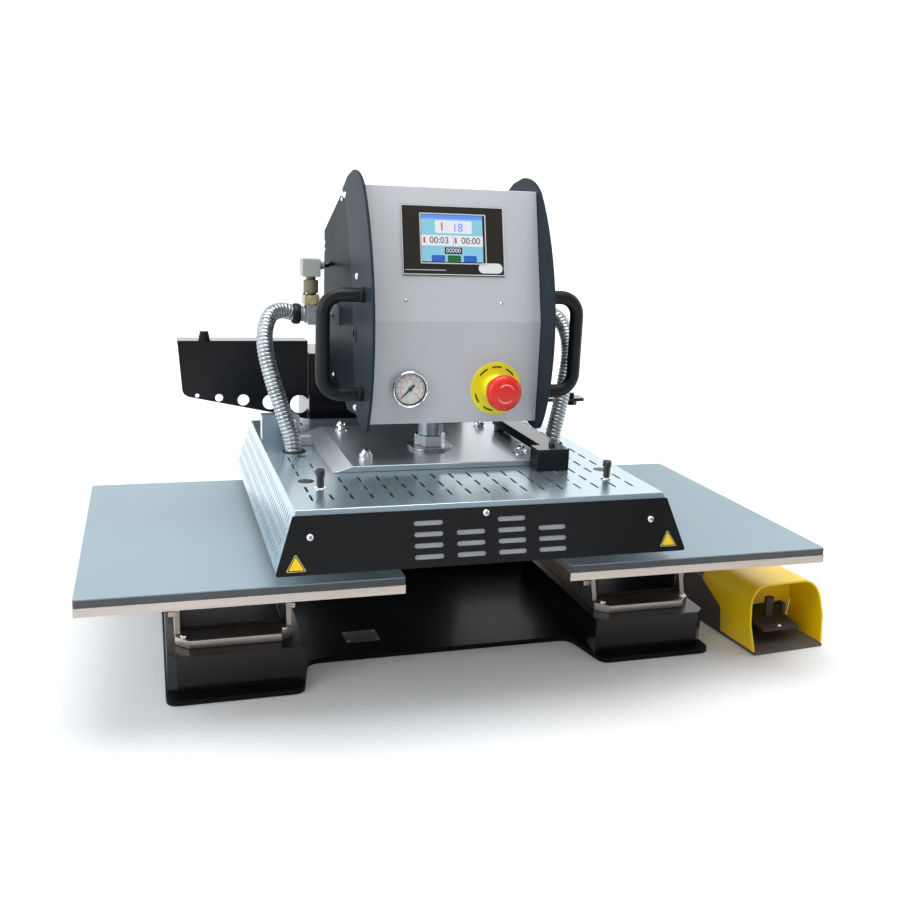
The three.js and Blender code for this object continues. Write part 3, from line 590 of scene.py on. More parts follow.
def dome_nut(r):
    """A washer, a hexagon and a dome; r is half the size across flats."""
    corner = r / HEX_FLAT
    turns = [i * math.pi / 14 for i in range(7)]
    dome = [(0.86 * r * math.cos(a), 0.95 * r + 0.78 * r * math.sin(a)) for a in turns]
    washer = [(1.28 * r, 0), (1.28 * r, 0.16 * r), (1.02 * r, 0.17 * r)]
    return [*washer, (corner, 0.3 * r, "hex"), (corner, 0.84 * r, "hex"), (0.94 * r, 0.95 * r), *dome]


def hex_head(r, tall):
    """A hexagon head with chamfered corners; r is half the size across flats."""
    corner = r / HEX_FLAT
    sides = [(corner, 0.1 * tall, "hex"), (corner, 0.86 * tall, "hex")]
    return [(1.02 * r, 0), *sides, (0.98 * r, tall), (0.6 * r, tall)]


def fasteners(name, rings, places, finish, body, sides=24):
    """One piece holding like fasteners, each at (point, axis)."""
    work = bmesh.new()
    for i, (at, axis) in enumerate(places):
        turned(work, rings, axis_matrix(at, axis, 0.35 * i), sides)
    return close(work, name, finish, body)


def block(work, low, high):
    """Adds an axis-aligned box to a bmesh."""
    spans = [(x, y, z) for z in (low[2], high[2]) for y in (low[1], high[1]) for x in (low[0], high[0])]
    corners = [work.verts.new(point) for point in spans]
    for face in ((0, 2, 3, 1), (4, 5, 7, 6), (0, 1, 5, 4), (2, 6, 7, 3), (0, 4, 6, 2), (1, 3, 7, 5)):
        work.faces.new([corners[i] for i in face])


def boxes(name, spans, finish, body, width, segments=2, place=None):
    """One piece made of boxes with rounded edges, each a (low, high) pair."""
    work = bmesh.new()
    for low, high in spans:
        block(work, low, high)
    if place:
        bmesh.ops.transform(work, matrix=place, verts=work.verts)
    return soften(close(work, name, finish, body), width, segments)


def round_corners(corners, radius):
    """Points round a polygon whose corners, (x, y) or (x, y, own radius), are rounded with true arcs."""
    points, steps = [], 6
    for i, (x, y, *own_radius) in enumerate(corners):
        here = Vector((x, y))
        r = own_radius[0] if own_radius else radius
        into, away = directions(corners, i)
        if r <= 0:
            points.append(here)
            continue
        half = into.angle(away) / 2
        centre = here + (into + away).normalized() * (r / math.sin(half))
        start = here + into * (r / math.tan(half)) - centre
        side = 1 if into.x * away.y - into.y * away.x < 0 else -1
        for k in range(steps + 1):
            turn = side * (math.pi - 2 * half) * k / steps
            points.append(centre + Matrix.Rotation(turn, 2) @ start)
    return points


def directions(corners, i):
    """Unit vectors from a polygon's corner back to the one before and on to the one after."""
    here, before, after = (Vector(corners[k % len(corners)][:2]) for k in (i, i - 1, i + 1))
    return (before - here).normalized(), (after - here).normalized()


def span_corners(low, high):
    """The corners of a rectangle, counter-clockwise."""
    return [(low[0], low[1]), (high[0], low[1]), (high[0], high[1]), (low[0], high[1])]


def stadium(centre, length, width, upright, steps=5):
    """A slot with round ends, along the outline's second axis if upright."""
    r = width / 2
    points = []
    for end, start in ((1, 0), (-1, math.pi)):
        for k in range(steps + 1):
            a = start + math.pi * k / steps
            points.append(Vector((r * math.cos(a), end * (length / 2 - r) + r * math.sin(a))))
    if not upright:
        points = [Vector((-p.y, p.x)) for p in points]
    return [p + Vector(centre) for p in points]


def circle(centre, r, steps=24):
    """Points round a circle."""
    turns = [FULL_TURN * k / steps for k in range(steps)]
    return [Vector((centre[0] + r * math.cos(a), centre[1] + r * math.sin(a))) for a in turns]


def curve_mesh(curve):
    """The mesh that a curve makes; the curve goes."""
    carrier = bpy.data.objects.new(curve.name, curve)
    bpy.context.scene.collection.objects.link(carrier)
    bpy.context.view_layer.update()
    mesh = bpy.data.meshes.new_from_object(carrier)
    bpy.data.objects.remove(carrier)
    bpy.data.curves.remove(curve)
    return mesh


def flat_mesh(name, loops, thick):
    """A sheet in the local XY plane from an outline and its holes, centred on its thickness."""
    curve = bpy.data.curves.new(name, "CURVE")
    curve.dimensions = "2D"
    curve.fill_mode = "BOTH"
    curve.extrude = thick / 2
    for loop in loops:
        spline = curve.splines.new("POLY")
        spline.points.add(len(loop) - 1)
        for point, place in zip(spline.points, loop):
            point.co = (place[0], place[1], 0, 1)
        spline.use_cyclic_u = True
    return curve_mesh(curve)


def sheet_piece(name, loops, thick, place, finish, body, width=0.0, segments=1):
    """A flat sheet with holes, put in place by a matrix."""
    mesh = flat_mesh(name, loops, thick)
    mesh.transform(place)
    work = bmesh.new()
    work.from_mesh(mesh)
    bmesh.ops.remove_doubles(work, verts=work.verts, dist=SAME_POINT)
    bmesh.ops.recalc_face_normals(work, faces=work.faces)
    work.to_mesh(mesh)
    work.free()
    piece = own(name, mesh, finish, body)
    return soften(piece, width, segments)


def plane_matrix(origin, right, up):
    """Takes local X to right and local Y to up."""
    right, up = Vector(right).normalized(), Vector(up).normalized()
    out = right.cross(up)
    turn = Matrix((right, up, out)).transposed().to_4x4()
    return Matrix.Translation(origin) @ turn


def smooth_path(points, spacing):
    """Evenly spaced points along a smooth curve through the given ones."""
    dense, steps = [], 24
    last = len(points) - 1
    for i in range(last):
        p = [Vector(points[min(max(k, 0), last)]) for k in (i - 1, i, i + 1, i + 2)]
        for k in range(steps):
            u = k / steps
            square = (2 * p[0] - 5 * p[1] + 4 * p[2] - p[3]) * u * u
            cube = (3 * p[1] - p[0] - 3 * p[2] + p[3]) * u ** 3
            dense.append(0.5 * (2 * p[1] + (p[2] - p[0]) * u + square + cube))
    dense.append(Vector(points[-1]))
    path = [dense[0]]
    carried = 0.0
    for a, b in zip(dense, dense[1:]):
        step = (b - a).length
        while carried + step >= spacing:
            a = a.lerp(b, (spacing - carried) / step)
            step = (b - a).length
            carried = 0.0
            path.append(a.copy())
        carried += step
    path.append(dense[-1])
    return path


def sweep(work, path, radius, sides):
    """Adds a closed tube along a path; its radius is a number or radius(distance, angle)."""
    up = UP if abs((path[1] - path[0]).normalized().z) < 0.9 else RIGHT
    loops = []
    gone = 0.0
    for i, here in enumerate(path):
        ahead = (path[min(i + 1, len(path) - 1)] - path[max(i - 1, 0)]).normalized()
        up = (up - ahead * up.dot(ahead)).normalized()
        across = ahead.cross(up)
        if i:
            gone += (here - path[i - 1]).length
        loop = []
        for k in range(sides):
            a = FULL_TURN * k / sides
            r = radius(gone, a) if callable(radius) else radius
            loop.append(work.verts.new(here + r * (math.cos(a) * up + math.sin(a) * across)))
        loops.append(loop)
    skin_loops(work, loops)
    cap_ends(work, loops)


def figures(name, text, size, place, finish, thick):
    """Plain figures as a thin relief on the carriage, centred on the local origin of place."""
    curve = bpy.data.curves.new(name, "FONT")
    curve.body = text
    curve.size = size
    curve.align_x = "CENTER"
    curve.align_y = "CENTER"
    curve.extrude = thick
    mesh = curve_mesh(curve)
    mesh.transform(place)
    return own(name, mesh, finish, "carriage")


# ---- places read from the frame ----


def middle(node):
    """The centre of a node's box."""
    low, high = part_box(node)
    return (low + high) / 2


COVER_LOW, COVER_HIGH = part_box("heat_cover")
FRONT_LOW, FRONT_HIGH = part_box("cover_front")
PANEL_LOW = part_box("front_panel")[0]
HEAD_X = middle("head_frame").x
COVER_FLARE = Vector((25 * MM, 21 * MM))
COVER_HALF = (COVER_HIGH - COVER_LOW).xy / 2 - COVER_FLARE
SLOPE_HEIGHT = COVER_HIGH.z - COVER_LOW.z
FRONT_UP = Vector((0, COVER_FLARE.y, SLOPE_HEIGHT)).normalized()
FRONT_OUT = RIGHT.cross(FRONT_UP)
FOLD_Z = PANEL_LOW.z + 142 * MM
PANEL_LEAN = Vector((0, 46.2, 179)).normalized()
PANEL_OUT = RIGHT.cross(PANEL_LEAN)
CARRIAGE_X = {"left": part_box("left_cheek")[0].x, "right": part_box("right_cheek")[1].x}


# ---- pieces: base ----


def build_base():
    """The base plate, feet, lower plates and the hidden slide with its rail plugs."""
    edge = bpy.context.scene.press_sizes.sheet_edge
    refined("base_plate", "base_coat", "base", edge * 1.6)
    parts = (
        ("leg", "gloss_black_coat", 1.8), ("post", "black_coat", 1.4), ("tray", "machined_across", 1),
        ("lower_plate", "machined_across", 1), ("inner_bracket", "machined_along", 1),
        ("outer_bracket", "machined_along", 1),
    )
    for side, _ in LEFT_RIGHT:
        for part, finish, factor in parts:
            refined(f"{side}_{part}", finish, "base", edge * factor)
    refined("slide_bed", "black_coat", "base", edge * 1.4)
    counterbores = []
    count, end_gap = 15, 20 * MM
    for node in ("front_rail", "back_rail"):
        refined(node, "ground_rail", "base", edge)
        low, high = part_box(node)
        for k in range(count):
            x = low.x + end_gap + k * (high.x - low.x - 2 * end_gap) / (count - 1)
            counterbores.append(((x, (low.y + high.y) / 2, high.z + 0.05 * MM), UP))
    plug = in_mm((4.2, -1), (4.2, 0), (3.4, 0.02), (2, -0.6, "hex"))
    fasteners("rail_plugs", plug, counterbores, "dark_steel", "base")


def build_pads():
    """Each pad: a skin of silicone over a dark edge, its rim rolled a little."""
    skin = 1.6 * MM
    for side, _ in LEFT_RIGHT:
        node = f"{side}_pad"
        low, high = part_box(node)
        for layer, finish, margin, bottom, top, edge in (
            ("core", "pad_edge", 0.0, low.z, high.z - skin, 1.2 * MM),
            ("skin", "pad_silicone", 0.4 * MM, high.z - skin, high.z, 0.7 * MM),
        ):
            shrink = Vector((margin, margin))
            place = Matrix.Translation((0, 0, (bottom + top) / 2))
            loops = [round_corners(span_corners(low.xy + shrink, high.xy - shrink), 4 * MM)]
            piece = sheet_piece(f"{node}_{layer}", loops, top - bottom, place, finish, "base", edge, 3)
            if layer == "core":
                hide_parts(node)


def build_base_hardware():
    """Bolts of the trays and screws of the brackets."""
    bolts, cap_screws = [], []
    for side, _ in LEFT_RIGHT:
        low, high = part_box(f"{side}_tray")
        bolts += [((x, y, high.z), UP) for x in (low.x + 12 * MM, high.x - 12 * MM)
                  for y in (low.y + 14 * MM, high.y - 16 * MM)]
        for place in ("inner", "outer"):
            low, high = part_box(f"{side}_{place}_bracket")
            outward = low.x > middle(f"{side}_post").x
            face, axis = (high.x, (1, 0, 0)) if outward else (low.x, (-1, 0, 0))
            cap_screws += [((face, y, z), axis) for z in (low.z + 26 * MM, high.z - 26 * MM)
                           for y in (low.y + 30 * MM, high.y - 30 * MM)]
    fasteners("tray_bolts", hex_head(4.2 * MM, 4 * MM), bolts, "bright_steel", "base")
    fasteners("bracket_screws", socket_head(4.6 * MM, 5 * MM), cap_screws, "dark_steel", "base")


def build_rating_plate():
    """A blank silver plate with four rivets, lying on the base in front of the notch."""
    low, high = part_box("base_plate")
    centre = Vector((-115 * MM, low.y + 155 * MM, high.z))
    half = Vector((27 * MM, 20 * MM))
    place = Matrix.Translation(centre + UP * 0.45 * MM)
    loops = [round_corners(span_corners(-half, half), 2.5 * MM)]
    plate = sheet_piece("rating_plate", loops, 0.7 * MM, place, "bright_steel", "base", 0.15 * MM)
    reach = half - Vector((4 * MM, 4 * MM))
    offsets = [(x, y) for x in (-reach.x, reach.x) for y in (-reach.y, reach.y)]
    places = [(centre + Vector((x, y, 0.8 * MM)), UP) for x, y in offsets]
    rivet = in_mm((1.7, -0.2), (1.6, 0.4), (0.9, 0.9))
    fasteners("rating_plate_rivets", rivet, places, "chrome", "base", 12)


# ---- pieces: foot switch ----


HOOD_HALF, HOOD_TALL, HOOD_SHOULDER = 67 * MM, 107 * MM, 76 * MM
PEDAL_TURN = 0.075
PEDAL_FRONT = (541 * MM, -164 * MM, 0)
PEDAL_PLACE = Matrix.Translation(PEDAL_FRONT) @ Matrix.Rotation(PEDAL_TURN, 4, "Z")


def hood_profile(half, tall):
    """The hood's section from its left foot over the top to its right foot, as (x, z)."""
    steps = 10
    shoulder = Vector((half + 2 * MM, HOOD_SHOULDER))
    pull, end = Vector((half - 4 * MM, tall)), Vector((half - 34 * MM, tall))
    right = [Vector((half, 5 * MM)), Vector((half + 5 * MM, 48 * MM)), shoulder]
    for k in range(1, steps + 1):
        u = k / steps
        right.append((1 - u) ** 2 * shoulder + 2 * u * (1 - u) * pull + u * u * end)
    right += [Vector((end.x * quarter / 4, tall)) for quarter in (3, 2, 1)]
    left = [Vector((-p.x, p.y)) for p in right]
    return left + [Vector((0, tall))] + right[::-1]


def build_hood():
    """A moulded yellow hood over the treadle, whose mouth leans back and whose sides are short."""
    work = bmesh.new()
    rows = 8
    top_back, side_back = 150 * MM, 91 * MM
    lean = 30 / 135
    grid = []
    for point in hood_profile(HOOD_HALF, HOOD_TALL):
        mouth = (point.y + 10 * MM) * lean
        back = top_back if point.y > HOOD_SHOULDER - 0.1 * MM else side_back
        depths = [mouth + (back - mouth) * k / rows for k in range(rows + 1)]
        grid.append([work.verts.new(PEDAL_PLACE @ Vector((point.x, y, point.y))) for y in depths])
    for one, two in zip(grid, grid[1:]):
        for k in range(rows):
            work.faces.new((one[k], one[k + 1], two[k + 1], two[k]))
    piece = close(work, "foot_switch_hood_finished", "yellow_shell", "base", 60)
    wall = piece.modifiers.new("wall", "SOLIDIFY")
    wall.thickness = 3.6 * MM
    wall.offset = -1
    wall.use_even_offset = True
    stand_for(soften(piece, 1.3 * MM, 3, angle=50, smooth=50), "foot_switch_hood")


def build_bulkhead():
    """The yellow wall inside the hood, notched for the treadle, in front of the switch case."""
    gap = 4.6 * MM
    inner = hood_profile(HOOD_HALF - gap, HOOD_TALL - gap)
    half, tall, foot = 53 * MM, 46 * MM, inner[0].y
    notch = [(half, foot), (half, tall), (-half, tall), (-half, foot)]
    outline = [*inner, *(Vector(p) for p in notch)]
    place = PEDAL_PLACE @ plane_matrix((0, 90 * MM, 0), RIGHT, UP)
    loops = [outline[::-1]]
    wall = sheet_piece("foot_switch_bulkhead", loops, 1.6 * MM, place, "yellow_shell", "base", 0.3 * MM)


def build_foot_switch():
    """The foot switch: hood, inner wall, case and a ribbed treadle that turns."""
    sizes = bpy.context.scene.press_sizes
    build_hood()
    build_bulkhead()
    refined("foot_switch_base", "switch_case", "base", sizes.cast_edge, 3)
    refined("treadle", "treadle_grip", "treadle", sizes.sheet_edge * 1.5)
    screw = PEDAL_PLACE @ Vector((0, 30 * MM, 31.7 * MM))
    fasteners("treadle_screw", button_head(4 * MM), [(screw, UP)], "chrome", "treadle")
    ribs = []
    for k in range(7):
        y, z = (36 + k * 5) * MM, (32.4 + k * 0.72) * MM
        ribs.append(((-30 * MM, y, z), (30 * MM, y + 2 * MM, z + 1.2 * MM)))
    piece = boxes("treadle_ribs", ribs, "black_moulding", "treadle", 0.3 * MM, 1, PEDAL_PLACE)


# ---- pieces: carriage and column ----


def build_carriage():
    """What slides under the head, and the head's beam."""
    edge = bpy.context.scene.press_sizes.sheet_edge
    for corner in ("front_left", "front_right", "back_left", "back_right"):
        refined(f"{corner}_bearing", "dark_steel", "carriage", edge)
    for node, finish, factor in (
        ("carriage_plate", "machined_across", 1), ("column", "gloss_black_coat", 2.5),
        ("side_arm", "gloss_black_coat", 1.4), ("stop_bracket", "gloss_black_coat", 1.4),
        ("head_frame", "slate_coat", 1.6),
    ):
        refined(node, finish, "carriage", edge * factor)
    low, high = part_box("carriage_plate")
    first, pitch = low.x + 20 * MM, (high.x - low.x - 40 * MM) / 3
    bolts = [((first + k * pitch, low.y + 8 * MM, high.z), UP) for k in range(4)]
    fasteners("carriage_bolts", socket_head(4 * MM, 4 * MM), bolts, "bright_steel", "carriage")
    low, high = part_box("column")
    covers = [((x, high.y, z), -OUT_FRONT) for x in (low.x + 14 * MM, high.x - 14 * MM)
              for z in (low.z + 16 * MM, (low.z + high.z) / 2, high.z - 16 * MM)]
    fasteners("column_screws", button_head(4 * MM), covers, "dark_steel", "carriage")


def build_arm_nut():
    """The chrome acorn nut and its washer on the arm's flange."""
    low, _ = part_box("side_arm")
    at = (low.x + 45 * MM, low.y + 23 * MM, low.z + 139.2 * MM)
    fasteners("arm_nut", dome_nut(8 * MM), [(at, UP)], "chrome", "carriage", 36)


# ---- pieces: head ----


def panel_point(x, z, out=0.0):
    """A point on the panel's face at height z, or that far in front of it."""
    if z <= FOLD_Z:
        return Vector((x, PANEL_LOW.y - out, z))
    face = Vector((x, PANEL_LOW.y, FOLD_Z)) + PANEL_LEAN * ((z - FOLD_Z) / PANEL_LEAN.z)
    return face + PANEL_OUT * out


def build_head_shell():
    """The head's sheets, its cylinder and its control unit."""
    edge = bpy.context.scene.press_sizes.sheet_edge
    for side, _ in LEFT_RIGHT:
        refined(f"{side}_cheek", "slate_coat", "carriage", edge * 1.8, 3)
    refined("front_panel", "panel_paint", "carriage", edge, smooth=8.0)
    # The rear housing wears the slate coat darkened by half, as painted shade.
    refined("rear_housing", "shaded_slate_coat", "carriage", edge * 1.6)
    refined("press_cylinder", "machined_along", "carriage", edge)
    refined("control_unit", "black_moulding", "carriage", edge)


BEHIND_VALVE = (174, 567)


def build_head_screws():
    """Screws of the cheeks, housing and panel, and the plug in each cheek's port."""
    cheek, housing, ports = [], [], []
    low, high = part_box("rear_housing")
    for side, sign in LEFT_RIGHT:
        x, out = CARRIAGE_X[side], (sign, 0, 0)
        cheek += [((x, y * MM, z * MM), out) for y, z in ((64, 677), (-32, 567), (-33, 382))]
        wall = low.x if sign < 0 else high.x
        spots = [(95, 671), (174, 567), (251, 602), (247, 591), (150, 400), (235, 400)]
        if sign < 0:
            spots.remove(BEHIND_VALVE)
        housing += [((wall, min(y * MM, high.y - 9 * MM), z * MM), out) for y, z in spots]
        ports.append(((x, -22 * MM, 485 * MM), out))
    fasteners("cheek_screws", button_head(5 * MM), cheek, "chrome", "carriage")
    fasteners("housing_screws", button_head(3.4 * MM), housing, "bright_steel", "carriage")
    plug = in_mm((9.6, -3), (12.4, 0), (12.4, 0.8), (11.6, 1.4), (8.4, 1.4), (7.6, -1))
    fasteners("cheek_port_plugs", plug, ports, "black_moulding", "carriage", 36)
    places = [(panel_point(x * MM, z * MM), PANEL_OUT) for x, z in ((-82, 539), (55, 537))]
    fasteners("panel_screws", button_head(2.6 * MM), places, "bright_steel", "carriage")


def build_handles():
    """Each handle: a smooth bar bent at two corners, with a low collar where it meets its cheek."""
    bend, arc_steps = 26 * MM, 10
    for side, sign in LEFT_RIGHT:
        low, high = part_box(f"{side}_handle")
        r = (high.y - low.y) / 2
        y = (low.y + high.y) / 2
        root, tip = (low.x, high.x) if sign > 0 else (high.x, low.x)
        reach = tip - sign * r
        ends = (high.z - r, low.z + r)
        path = [Vector((root, y, ends[0]))]
        for z, start, into in ((ends[0], 90, -bend), (ends[1], 0, bend)):
            centre = Vector((reach - sign * bend, y, z + into))
            for k in range(arc_steps + 1):
                a = math.radians(start - 90 * k / arc_steps)
                path.append(centre + bend * Vector((sign * math.cos(a), 0, math.sin(a))))
        path.append(Vector((root, y, ends[1])))
        work = bmesh.new()
        sweep(work, path, r, 28)
        collar = [(r * 1.07, 0.2 * MM), (r * 1.07, 5 * MM), (r * 0.99, 6 * MM)]
        for z in ends:
            turned(work, collar, axis_matrix((root, y, z), (sign, 0, 0)), 32)
        stand_for(close(work, f"{side}_handle_finished", "black_moulding", "carriage", 30), f"{side}_handle")


CONDUIT_ROUTE = (
    (-206, 34, 297), (-209, 36, 322), (-219, 44, 356), (-232, 58, 400), (-242, 72, 444),
    (-242, 88, 476), (-232, 104, 498), (-214, 118, 504), (-195, 125, 500), (-166, 126, 498),
)


def build_conduits():
    """Interlocked metal hoses from the heater's cover up and round into their rails."""
    sizes = bpy.context.scene.press_sizes
    radius, seam, sharpness = 12.5 * MM, 0.5 * MM, 5.0

    def ribbed(gone, angle):
        phase = (gone / sizes.hose_pitch + angle / FULL_TURN) % 1.0
        groove = max(0.0, 1 - min(phase, 1 - phase) * sharpness) ** 0.6
        return radius - sizes.rib_depth * groove - seam * phase

    for side, sign in LEFT_RIGHT:
        route = [(HEAD_X - sign * x * MM, y * MM, z * MM) for x, y, z in CONDUIT_ROUTE]
        work = bmesh.new()
        sweep(work, smooth_path(route, 0.55 * MM), ribbed, 24)
        piece = stand_for(close(work, f"{side}_conduit_finished", "hose_zinc", None, 50), f"{side}_conduit")
        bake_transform(piece)
        bottom = axis_matrix((*route[0][:2], COVER_HIGH.z), UP)
        mouth = axis_matrix(Vector(route[-1]) + Vector((sign * 24.5 * MM, 0, 0.6 * MM)), (sign, 0, 0.05))
        for part, finish, body, place, *rim, sides in (
            ("rim", "rubber_stop", "heater", bottom, 15.4 * MM, 2.3 * MM, 1.6 * MM, 40),
            ("ferrule", "black_moulding", "carriage", mouth, 14.3 * MM, 1.7 * MM, 6 * MM, 36),
        ):
            work = bmesh.new()
            ring_loop(work, place, *rim, sides)
            close(work, f"{side}_conduit_{part}", finish, body, 50)


def ring_loop(work, place, radius, wall, half_tall, sides):
    """Adds a ring of round section to a bmesh, stretched along its axis."""
    loops, steps = [], 12
    for i in range(sides):
        a = FULL_TURN * i / sides
        loop = []
        for k in range(steps):
            b = FULL_TURN * k / steps
            r = radius + wall * math.cos(b)
            spot = Vector((r * math.cos(a), r * math.sin(a), half_tall * math.sin(b)))
            loop.append(work.verts.new(place @ spot))
        loops.append(loop)
    skin_loops(work, loops, around=True)


def build_head_fittings():
    """The hose rails with their bolts, the valve's plug and lead, and the mains switch."""
    edge = bpy.context.scene.press_sizes.sheet_edge
    bolts = []
    for side, sign in LEFT_RIGHT:
        refined(f"{side}_hose_rail", "zinc_plate", "carriage", edge)
        low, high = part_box(f"{side}_hose_rail")
        x = low.x + 12 * MM if sign > 0 else high.x - 12 * MM
        height = (low.z + high.z) / 2
        bolts += [((x + sign * step, low.y, height), OUT_FRONT) for step in (0, 20 * MM)]
    fasteners("rail_bolts", hex_head(3.6 * MM, 3.2 * MM), bolts, "bright_steel", "carriage")
    refined("valve_plug", "grey_moulding", "carriage", edge * 2, 3)
    refined("valve_lead", "black_moulding", "carriage", 0)
    refined("mains_switch", "black_moulding", "mains_switch", edge)


def build_valve():
    """The air valve: a brass body, a moulded coil round its stem and a lock nut."""
    low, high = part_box("air_valve")
    centre = (low + high) / 2
    body_top = low.z + 14 * MM
    span = (low, (high.x, high.y, body_top))
    stand_for(boxes("air_valve_finished", [span], "brass_body", "carriage", 1 * MM, 3), "air_valve")
    tall = (high.z - low.z) / MM
    stem = in_mm((6, 13), (6, 17), (11, 17.3), (11.4, 18.2), (11.4, tall - 6), (10.6, tall - 5),
                 (7.4, tall - 4.8), (7.4, tall - 0.1))
    work = bmesh.new()
    turned(work, stem, axis_matrix((centre.x, centre.y, low.z), UP), 36)
    coil = close(work, "air_valve_coil", "coil_resin", "carriage")
    screws = [((low.x + dx * MM, low.y + dy * MM, body_top), UP) for dx in (3.2, 19.8) for dy in (3.2, 26.8)]
    fasteners("air_valve_screws", socket_head(2.1 * MM, 2 * MM), screws, "dark_steel", "carriage", 16)
    port = [((centre.x, low.y, low.z + 7 * MM), OUT_FRONT)]
    fasteners("air_valve_port", hex_head(6.5 * MM, 5 * MM), port, "brass_body", "carriage")


# ---- pieces: operator panel ----


def decal(name, loops, finish, plane, lift, body="carriage", thick=0.12 * MM):
    """A thin layer lying on a plane, raised by lift."""
    place = plane @ Matrix.Translation((0, 0, lift + thick / 2))
    return sheet_piece(name, loops, thick, place, finish, body)


def rectangle(u0, v0, u1, v1, radius=0.0):
    """A rectangle with rounded corners, in millimetres."""
    return round_corners(span_corners((u0 * MM, v0 * MM), (u1 * MM, v1 * MM)), radius * MM)


def build_display():
    """The printed film round the screen, and what the lit screen shows."""
    centre = middle("control_unit")
    plane = plane_matrix(panel_point(centre.x, centre.z, 1.75 * MM), RIGHT, PANEL_LEAN)
    screen = (-46.5, -31, 45.5, 35.5)
    u0, _, u1, v1 = screen
    hole = rectangle(*screen, 0.8)
    rims = [rectangle(-73.4, -47.7, 73.4, 47.7, 1.4), rectangle(-72.4, -46.7, 72.4, 46.7, 1)]
    keys = [rectangle(u, -29.5, u + 19, -20.5, 1.5) for u in (-32, 14)]
    bars = [rectangle(u, -4, u + 2.5, 4) for u in (-43, 2)]
    for name, finish, loops, lift, thick in (
        ("display_film", "printed_film", [rectangle(-73, -47.3, 73, 47.3, 1.2), hole], 0, 0.12),
        ("display_outline", "mark_white", rims, 0.14, 0.12),
        ("display_line", "mark_white", [rectangle(-70, -41.5, -12, -40.8)], 0.14, 0.12),
        ("display_patch", "mark_white", [rectangle(35, -44.5, 70, -30.5, 6.9)], 0.14, 0.12),
        ("screen_bezel", "mark_silver", [rectangle(-48, -32.5, 47, 37, 1.6), hole], 0.3, 0.5),
        ("screen_back", "screen_blue", [rectangle(*screen)], -0.6, 0.1),
        ("screen_header", "screen_bar", [rectangle(u0, v1 - 6, u1, v1)], -0.45, 0.1),
        ("screen_reading", "screen_panel", [rectangle(-26, 10, 27, 27.5, 1)], -0.45, 0.1),
        ("screen_timers", "screen_panel", [rectangle(u0, -7.5, u1, 7, 0.5)], -0.45, 0.1),
        ("screen_counter", "mark_black", [rectangle(-13, -18.5, 12, -9.5, 0.6)], -0.45, 0.1),
        ("screen_keys", "screen_key", keys, -0.45, 0.1),
        ("screen_key_middle", "screen_key_green", [rectangle(-9, -29.5, 10, -20.5, 1.5)], -0.45, 0.1),
        ("screen_bars", "mark_red", [*bars, rectangle(-17, 13, -15.2, 25, 0.8)], -0.3, 0.1),
        ("screen_line", "screen_bar", [rectangle(-0.6, -7.5, 0.2, 7)], -0.3, 0.1),
    ):
        decal(name, loops, finish, plane, lift * MM, thick=thick * MM)
    for name, text, size, (u, v), finish in (
        ("reading", "18", 16.0, (6.5, 17.5), "screen_bar"),
        ("left", "00:03", 12.5, (-20.5, -0.3), "mark_black"),
        ("right", "00:00", 12.5, (25, -0.3), "mark_black"),
        ("counter", "00000", 8.5, (-0.5, -14), "mark_white"),
    ):
        place = plane @ Matrix.Translation((u * MM, v * MM, -0.22 * MM))
        figures(f"screen_figures_{name}", text, size * MM, place, finish, 0.05 * MM)


TICKS = 50


def dial_angle(part):
    """The scale runs clockwise over three quarters of a turn from the lower left."""
    return math.radians(225 - 270 * part)


def build_gauge():
    """The pressure gauge: bezel, dial with ticks and figures, needle and glass."""
    low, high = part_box("gauge_body")
    centre = (low + high) / 2
    r = (high.x - low.x) / 2
    dial_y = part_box("gauge_needle")[1].y + 0.7 * MM
    deep = PANEL_LOW.y - low.y
    rings = [(0.8 * r, -deep - 18 * MM), (0.8 * r, -deep + 0.6 * MM), (r, -deep + 0.7 * MM), (r, -3.4 * MM),
             (0.985 * r, -1.6 * MM), (0.95 * r, -0.5 * MM), (0.91 * r, 0), (0.88 * r, -0.4 * MM),
             (0.865 * r, -1.4 * MM), (0.86 * r, low.y - dial_y)]
    front = (centre.x, low.y, centre.z)
    body = turned_piece("gauge_body_finished", rings, front, OUT_FRONT, "chrome", "carriage", 72, 50)
    stand_for(body, "gauge_body")
    plane = plane_matrix((centre.x, dial_y, centre.z), RIGHT, UP)
    face = circle((0, 0), 0.855 * r, 64)
    decal("gauge_dial", [face], "dial_white", plane, 0.05 * MM)
    gasket = [face, circle((0, 0), 0.8 * r, 64)]
    decal("gauge_gasket", gasket, "rubber_stop", plane, 0.3 * MM, thick=0.6 * MM)
    major, minor = [], []
    for k in range(TICKS + 1):
        a = dial_angle(k / TICKS)
        out = Vector((math.cos(a), math.sin(a)))
        marks, half_wide, start = (major, 0.45 * MM, 0.62 * r) if k % 5 == 0 else (minor, 0.22 * MM, 0.7 * r)
        side = Vector((-out.y, out.x)) * half_wide
        inner, outer = out * start, out * 0.77 * r
        marks.append([inner - side, outer - side, outer + side, inner + side])
    scale = [arc_loop(0.5 * r, 0.55 * r, 225, -45)]
    for name, loops, finish in (("major_ticks", major, "mark_black"), ("minor_ticks", minor, "mark_black"),
                                ("inner_scale", scale, "mark_pink")):
        decal(f"gauge_{name}", loops, finish, plane, 0.2 * MM, thick=0.06 * MM)
    for k in range(6):
        a = dial_angle(k / 5)
        place = plane @ Matrix.Translation((0.4 * r * math.cos(a), 0.4 * r * math.sin(a), 0.22 * MM))
        figures(f"gauge_figure_{k}", str(2 * k), 4.6 * MM, place, "mark_red", 0.03 * MM)
    build_needle(plane)
    lens = [(0.87 * r, 0.0), (0.87 * r, 0.5 * MM), (0.6 * r, 0.9 * MM), (0.2 * r, 1.1 * MM)]
    rest = (centre.x, low.y + 1.7 * MM, centre.z)
    turned_piece("gauge_glass", lens, rest, OUT_FRONT, "clear_lens", "carriage", 64, 50)


